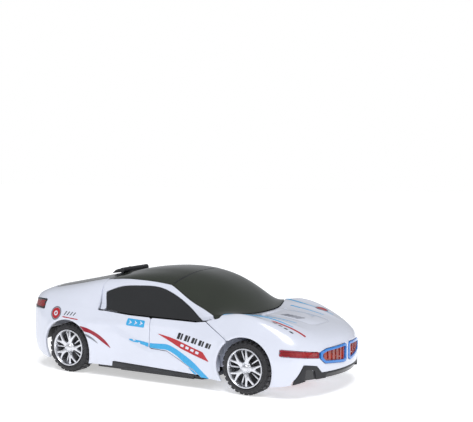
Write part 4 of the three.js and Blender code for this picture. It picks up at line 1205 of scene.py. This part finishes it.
def makeRim():
    r = wheel["rim"]
    w = wheel["width"]
    barrel = newLathe("rimBarrel", [
        (r, 0.1), (r - 0.25, 0.55), (r - 0.75, 0.6), (r - 1.1, 0.2), (r - 1.3, -0.5), (r - 1.7, -1.2),
        (r - 1.9, -w + 1), (r, -w + 0.8),
    ], 72)
    spoke = newOutline("spoke", [
        (2.4, -1.5), (5, -1.3), (7.3, -2), (10.6, -3.5), (10.9, -2.2), (7.9, -0.7), (6.8, 0),
        (7.9, 0.7), (10.9, 2.2), (10.6, 3.5), (7.3, 2), (5, 1.3), (2.4, 1.5),
    ], 1.5, start=-1.7, edge=0.38)
    for v in spoke.data.vertices:
        radius = math.hypot(v.co.x, v.co.z) / mm
        v.co.y += (0.5 - 0.055 * (radius - 7) ** 2 * 0.4) * mm * 0.8
    spokes = ringOf(spoke, wheel["spokes"], "spokes")
    blade = newOutline("blade", [(4.4, -0.35), (10.7, -0.55), (10.7, 0.55), (4.4, 0.35)], 1.0, start=-3.0, edge=0.2)
    blades = ringOf(blade, wheel["spokes"], "blades", math.pi / wheel["spokes"])
    hub = newLathe("hub", [
        (0, 0.35), (1.5, 0.35), (1.9, 0.1), (2.2, -0.35), (3.3, -0.5), (3.7, -0.9), (3.8, -8), (0, -8),
    ], 32)
    nut = newLathe("nut", [(0, 0.25), (0.34, 0.25), (0.42, 0.1), (0.42, -0.6), (0, -0.6)], 6)
    nut.data.transform(Matrix.Translation((2.85 * mm, -0.3 * mm, 0)))
    nuts = ringOf(nut, wheel["spokes"], "nuts", math.pi / wheel["spokes"])
    return joined([barrel, spokes, blades, hub, nuts], "rim")


def makeDrum():
    drum = newLathe("drum", [(0, -4.4), (8.4, -4.4), (8.8, -4.7), (9.8, -4.9), (9.8, -6.4), (0, -6.4)], 48)
    slot = newOutline("drumSlot", [(6, -0.4), (8.6, -0.6), (8.6, 0.6), (6, 0.4)], 0.5, start=-4.7, edge=0.1)
    return joined([drum, ringOf(slot, 12, "drumSlots")], "drum")


tyreShape, rimShape, drumShape = makeTyre(), makeRim(), makeDrum()
for which, axle in (("front", wheel["frontAxle"]), ("rear", wheel["rearAxle"])):
    for side, label in sides:
        bodyName = "front_wheel_" + label if which == "front" else "rear_wheels"
        place = Matrix.Translation((axle[0] * mm, wheel["face"] * mm, axle[1] * mm))
        if side < 0:
            place = mirrorY @ place
        ending = which + "_" + label
        for shape, name, material, slotName, smooth, node in (
            (tyreShape, "tyre_", rubber, "tyre_rubber", 40, which + "_tyre_" + label),
            (rimShape, "rim_", rimSilver, "silver_rim", 35, which + "_rim_" + label),
            (drumShape, "drum_", blackSatin, "black_plastic", 35, None),
        ):
            piece = copyOf(shape, name + ending, place, side < 0)
            finishPiece(piece, material, bodyName, [node] if node else (), smooth)
for shape in (tyreShape, rimShape, drumShape):
    bpy.data.objects.remove(shape)
print("wheels done")


def mouldedCopy(nodeName, material, width=0.35, segments=2, angle=30):
    source = nodes[nodeName]
    piece = newPiece(nodeName + "_moulded", source.data.copy())
    editAll(piece)
    bpy.ops.mesh.remove_doubles(threshold=2e-6)
    bpy.ops.mesh.dissolve_limited(angle_limit=math.radians(1.0))
    bpy.ops.object.mode_set(mode="OBJECT")
    roundEdges(piece, width, segments, angle)
    applyAll(piece)
    return finishPiece(piece, material, nodes[nodeName]["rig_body"], [nodeName], 32)


mouldedNodes = {
    "chassis": (blackSatin, 0.3), "foot_block_left": (whiteSatin, 0.7),
    "foot_block_right": (whiteSatin, 0.7), "battery_cover": (blackSatin, 0.3), "lift_gearbox": (blackSatin, 0.5),
    "power_switch": (blackSatin, 0.2), "leg_left": (whiteSatin, 0.7), "leg_right": (whiteSatin, 0.7),
    "leg_gear": (blackSatin, 0.1), "torso_shell": (whiteSatin, 0.5),
    "hood_frame": (whiteSatin, 0.4), "forearm_left": (whiteSatin, 0.4), "forearm_right": (whiteSatin, 0.4),
    "head_flap": (whiteGloss, 0.3), "helmet": (clearBlue, 0.8), "face_mask": (blueGloss, 0.5),
    "turret": (blackSatin, 0.3), "drive_wheels": (rubber, 0.3), "circuit_board": (boardGreen, 0.15),
    "speaker": (blackSatin, 0.4), "drive_motor": (motorCan, 0.6), "lift_pinion": (pinSteel, 0.08),
    "cell_1": (cellSleeve, 0.4), "cell_2": (cellSleeve, 0.4), "cell_3": (cellSleeve, 0.4),
    "roof_pin": (pinSteel, 0.2), "leg_pin": (pinSteel, 0.3), "hood_pin": (pinSteel, 0.3), "head_pin": (pinSteel, 0.15),
    "rear_axle": (pinSteel, 0.2),
}
for nodeName, (material, width) in mouldedNodes.items():
    mouldedCopy(nodeName, material, width)
print("moulded parts done")

# roof hinge: a low fairing with a fin, two barrels, and the canopy's knuckle between them
hinge = {"x": -45, "z": 64, "barrel": 1.7}


def barAt(name, x, z, radius, low, high, lip=0.3):
    bar = newLathe(name, [
        (0, low), (radius - lip, low), (radius, low + lip), (radius, high - lip), (radius - lip, high), (0, high),
    ], 32)
    return turned(bar, Matrix.Translation((x * mm, 0, z * mm)))


fairing = newOutline("fairingTop", [(-53.4, 61.6), (-46.6, 62.6), (-46.5, 64.2), (-48.4, 64.7), (-50.6, 63.9)], 28,
                     start=-14, edge=0.6)
fin = newOutline("fairingFin", [(-53.2, 61.8), (-49, 64), (-47.9, 65.2), (-49.4, 65.2)], 1.6, start=-0.8, edge=0.35)
barrels = [barAt("barrel", hinge["x"], hinge["z"], hinge["barrel"], low, low + 5.6) for low in (-14, 8.4)]
arms = [newBlock("barrelArm", (-47.6, low + 0.2, 63.2), (-45.2, low + 5.4, 64.8), 0.3) for low in (-14, 8.4)]
hingeFairing = joined([fairing, fin, *barrels, *arms], "hingeFairing")
finishPiece(hingeFairing, blackSatin, "base", ["roof_hinge"])
knuckle = [
    barAt("knuckleBarrel", hinge["x"], hinge["z"], hinge["barrel"], -8, 8),
    newBlock("knuckleArm", (-45, -7.8, 60.6), (-41.2, 7.8, 63.4), 0.4),
]
finishPiece(joined(knuckle, "canopyKnuckle"), blackSatin, "canopy")
for side, label in sides:
    ear = barAt("hoodEar_" + label, 61, 42.4, 1.5, *sorted((side * 11.95, side * 15)))
    finishPiece(ear, whiteSatin, "hood")
print("hinges done")

# robot armour: the torso lies face down inside the closed car, so its front is the low side
def armour(name, points, low, high, material, bodyName, slot, edge, facet=None, replaces=()):
    # a faceted plate, from high down to low, and its mirror image
    for side, label in sides:
        outline = [(x, side * y) for x, y in points]
        plate = newOutline(name + "_" + label, outline, low - high, "Z", high, edge, facet)
        finishPiece(plate, material, bodyName, [n + "_" + label for n in replaces])


# plates in pairs: outline of the left one, low and high side, finish, body, slot, edge, facet, nodes they stand for
plates = {
    "chestArmour": (
        [(60.5, 17.4), (65, 16), (77, 16), (85.5, 10), (92.4, 10), (92.4, 22), (89, 25.4), (66, 25.4), (60.5, 22.6)],
        11.9, 14, whiteGloss, "torso", "white_body", 0.35, (1.5, 1.0),
    ),
    "collarPlate": (
        [(86.6, 0.4), (92.4, 0.4), (92.4, 9.2), (86.2, 9.2)],
        11.9, 14, whiteSatin, "torso", "white_body", 0.3, (0.8, 0.6),
    ),
    "chestVent": (
        [(67, 18.4), (86, 18.4), (85, 22.6), (68, 22.6)],
        10.9, 11.6, blackSatin, "torso", "black_plastic", 0.1,
    ),
    "hipArmour": (
        [(33, 3.6), (42.2, 3.6), (46.8, 20.8), (44, 23), (34.5, 23), (32.2, 20)],
        10.9, 13.6, whiteGloss, "torso", "white_body", 0.35, (1.6, 1.1),
    ),
    "thighArmour": (
        [(16.4, 2.4), (32, 2.4), (31, 4.6), (20, 4.2), (17.2, 7.6), (16.4, 12)],
        11.6, 13.6, whiteSatin, "torso", "white_body", 0.3, (0.5, 0.4),
    ),
    "kneeLens": (
        [(17.5, 8.6), (19.6, 5.4), (28, 6.4), (31, 10.4), (28, 19), (19, 20.4)],
        11.6, 13.4, redLens, "torso", "red_lens", 0.2, (2.6, 1.2), ["knee_lens"],
    ),
    "kneeSide": (
        [(17, 20.8), (31.2, 20.2), (30.6, 23.4), (18.4, 23.6)],
        11.8, 14, whiteGloss, "torso", "white_body", 0.3, (0.7, 0.6),
    ),
    "shinPlate": (
        [(36, 8), (64, 12.8), (64, 19.6), (36, 19.6), (33, 17), (33, 10)],
        16.9, 18.1, whiteGloss, "legs", "white_limb", 0.3, (1.4, 0.3),
    ),
    "shinLine": (
        [(38, 13.4), (61, 15.6), (61, 16.8), (38, 14.8)],
        16.45, 16.8, greyPrint, "legs", "white_limb", 0.1,
    ),
    "eye": ([(74.2, 1.4), (75.4, 1.6), (76.2, 4.8), (74.6, 4.6)], 23.9, 24.9, clearBlue, "head", "clear_blue", 0.12),
    "cheek": (
        [(64.4, 4.8), (72.4, 5.8), (78.6, 7.2), (78.6, 9.4), (70, 9.6), (64.4, 7.4)],
        24.4, 33.5, clearBlue, "head", "clear_blue", 0.5, (0.6, 0.5),
    ),
    "maskLine": (
        [(66, 0.9), (71.4, 1.2), (71.4, 1.9), (66.6, 3.6), (66, 3.2)],
        23.4, 24.9, blueGloss, "head", "blue_plastic", 0.15,
    ),
}
for k, y in enumerate((7.6, 11.6, 15.6)):
    x = 0.26 * (y - 8)
    slotOutline = [(47.4 + x, y - 1.1), (51 + x, y - 0.3), (51 + x, y + 1.3), (47.4 + x, y + 0.5)]
    plates["beltSlot" + str(k)] = (slotOutline, 9.3, 10.2, blackGloss, "torso", "black_plastic", 0.1)
for k in range(3):
    y = 5 + k * 1.4
    ribOutline = [(56.2 + k, y), (56.9 + k, y), (57.1 + k * 0.9, 19.6), (56.4 + k * 0.9, 19.6)]
    plates["bellyRib" + str(k)] = (ribOutline, 12.3, 13.6, blackSatin, "torso", "black_plastic", 0.12)
for name, row in plates.items():
    armour(name, *row)

# pieces on the centre line: outline, depth, starting height, edge, facet, finish, body, slot, nodes they stand for
centrePieces = {
    "chestGem": (
        [(57, -3.4), (57, 3.4), (64.5, 14.6), (76.2, 14.6), (85.4, 8), (85.4, -8), (76.2, -14.6), (64.5, -14.6)],
        -1.6, 13.4, 0.22, (4.4, 1.9), redLens, "torso", "red_lens", ["chest_lens"],
    ),
    "gemBase": (
        [(56, -4.2), (56, 4.2), (64, 15.5), (76.6, 15.5), (86.2, 8.6), (86.2, -8.6), (76.6, -15.5), (64, -15.5)],
        -0.7, 13.55, 0.15, None, blackGloss, "torso", "black_plastic", [],
    ),
    "waistBelt": (
        [(55, -20.6), (48.6, -20.6), (43.6, -4), (43.6, 4), (48.6, 20.6), (55, 20.6), (51.6, 5), (51.6, -5)],
        -3.2, 13.5, 0.35, (0.9, 0.8), blueGloss, "torso", "blue_plastic", ["waist_belt"],
    ),
    "visorBand": (
        [(73, -5.8), (76.4, -6.2), (77.6, 0), (76.4, 6.2), (73, 5.8), (72.2, 0)],
        -1.5, 26.6, 0.2, (0.8, 0.5), blueGloss, "head", "blue_plastic", [],
    ),
    "crest": (
        [(78.4, -2.6), (85.2, -1.1), (85.2, 1.1), (78.4, 2.6), (77.4, 0)],
        -4.6, 30.2, 0.35, (0.6, 0.7), clearBlue, "head", "clear_blue", [],
    ),
}
for name, (outline, depth, high, edge, facet, material, bodyName, slotName, standsFor) in centrePieces.items():
    finishPiece(newOutline(name, outline, depth, "Z", high, edge, facet), material, bodyName, standsFor)

# stepped feet, pin caps and fists
capProfile = [(0, 0), (4.6, 0), (4.6, 0.7), (4.1, 1.1), (3.2, 1.1), (2.8, 0.7), (1.2, 0.7), (0.9, 1), (0, 1)]
footOutline = [(14.5, 9.4), (34.8, 9.4), (34.8, 13.6), (31.4, 23.4), (27.6, 26), (17.4, 26), (14.5, 23.6)]
for side, label in sides:
    step = newOutline("footStep_" + label, footOutline, side * 1.3, "Y", side * 34.9, 0.3, (1.6, 0.5))
    finishPiece(step, whiteGloss, "base")
    cap = turned(newLathe("pinCap_" + label, capProfile, 40),
                 Matrix.Translation((22 * mm, side * 36.6 * mm, 19 * mm)) @ Matrix.Scale(side, 4, (0, 1, 0)))
    tidyMesh(cap)
    finishPiece(cap, blackSatin, "base")
    inner, outer = sorted((side * 26.25, side * 28.4))
    fingers = [newBlock("finger", (46.6, inner, 11.2 + 2.6 * i), (53.4, outer, 13.4 + 2.6 * i), 0.55) for i in range(4)]
    thumb = newBlock("thumb", (53.9, inner, 12.6), (57.6, outer, 19), 0.6)
    finishPiece(joined([*fingers, thumb], "fist_" + label), whiteSatin, "arm_" + label)
print("robot detail done")

# studio
studio = {
    "floor": (0.92, 0.92, 0.93), "glow": 0.5, "sun": 1.6, "sunSoftness": 24, "fill": 0.7, "sky": 0.42, "backdrop": 1.0,
}
bpy.ops.mesh.primitive_plane_add(size=6, location=(0, 0, 0))
floor = bpy.context.object
floor.name = "floor"
floorMat, _, floorShader = newFinish("paleFloor", studio["floor"], 0.55)
floorShader.inputs["Emission Color"].default_value = (1, 1, 1, 1)
floorShader.inputs["Emission Strength"].default_value = studio["glow"]
floor.data.materials.append(floorMat)


def softLight(name, place, size, power, target=(0, 0, 0.03)):
    bpy.ops.object.light_add(type="AREA", location=place)
    light = bpy.context.object
    light.name = name
    light.data.size = size
    light.data.energy = power
    aim = Vector(target) - Vector(place)
    light.rotation_euler = aim.to_track_quat("-Z", "Y").to_euler()


bpy.ops.object.light_add(type="SUN", location=(0.3, -0.6, 1.2))
sun = bpy.context.object
sun.name = "sunLight"
sun.data.energy = studio["sun"]
sun.data.angle = math.radians(studio["sunSoftness"])
sun.rotation_euler = (Vector((0, 0, 0)) - Vector((0.35, -0.5, 1.1))).to_track_quat("-Z", "Y").to_euler()
softLight("fillLight", (0.9, -0.6, 0.35), 0.7, studio["fill"])
world = bpy.data.worlds.new("studioSky")
bpy.context.scene.world = world
world.use_nodes = True
sky = world.node_tree.nodes["Background"]
sky.inputs["Color"].default_value = (0.93, 0.95, 1, 1)
sky.inputs["Strength"].default_value = studio["sky"]
backdrop = world.node_tree.nodes.new("ShaderNodeBackground")
backdrop.inputs["Color"].default_value = (1, 1, 1, 1)
backdrop.inputs["Strength"].default_value = studio["backdrop"]
seen = world.node_tree.nodes.new("ShaderNodeLightPath")
mix = world.node_tree.nodes.new("ShaderNodeMixShader")
world.node_tree.links.new(seen.outputs["Is Camera Ray"], mix.inputs["Fac"])
world.node_tree.links.new(sky.outputs["Background"], mix.inputs[1])
world.node_tree.links.new(backdrop.outputs["Background"], mix.inputs[2])
world.node_tree.links.new(mix.outputs["Shader"], world.node_tree.nodes["World Output"].inputs["Surface"])
bpy.context.scene.view_settings.view_transform = "Standard"

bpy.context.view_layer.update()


print("scene finished")
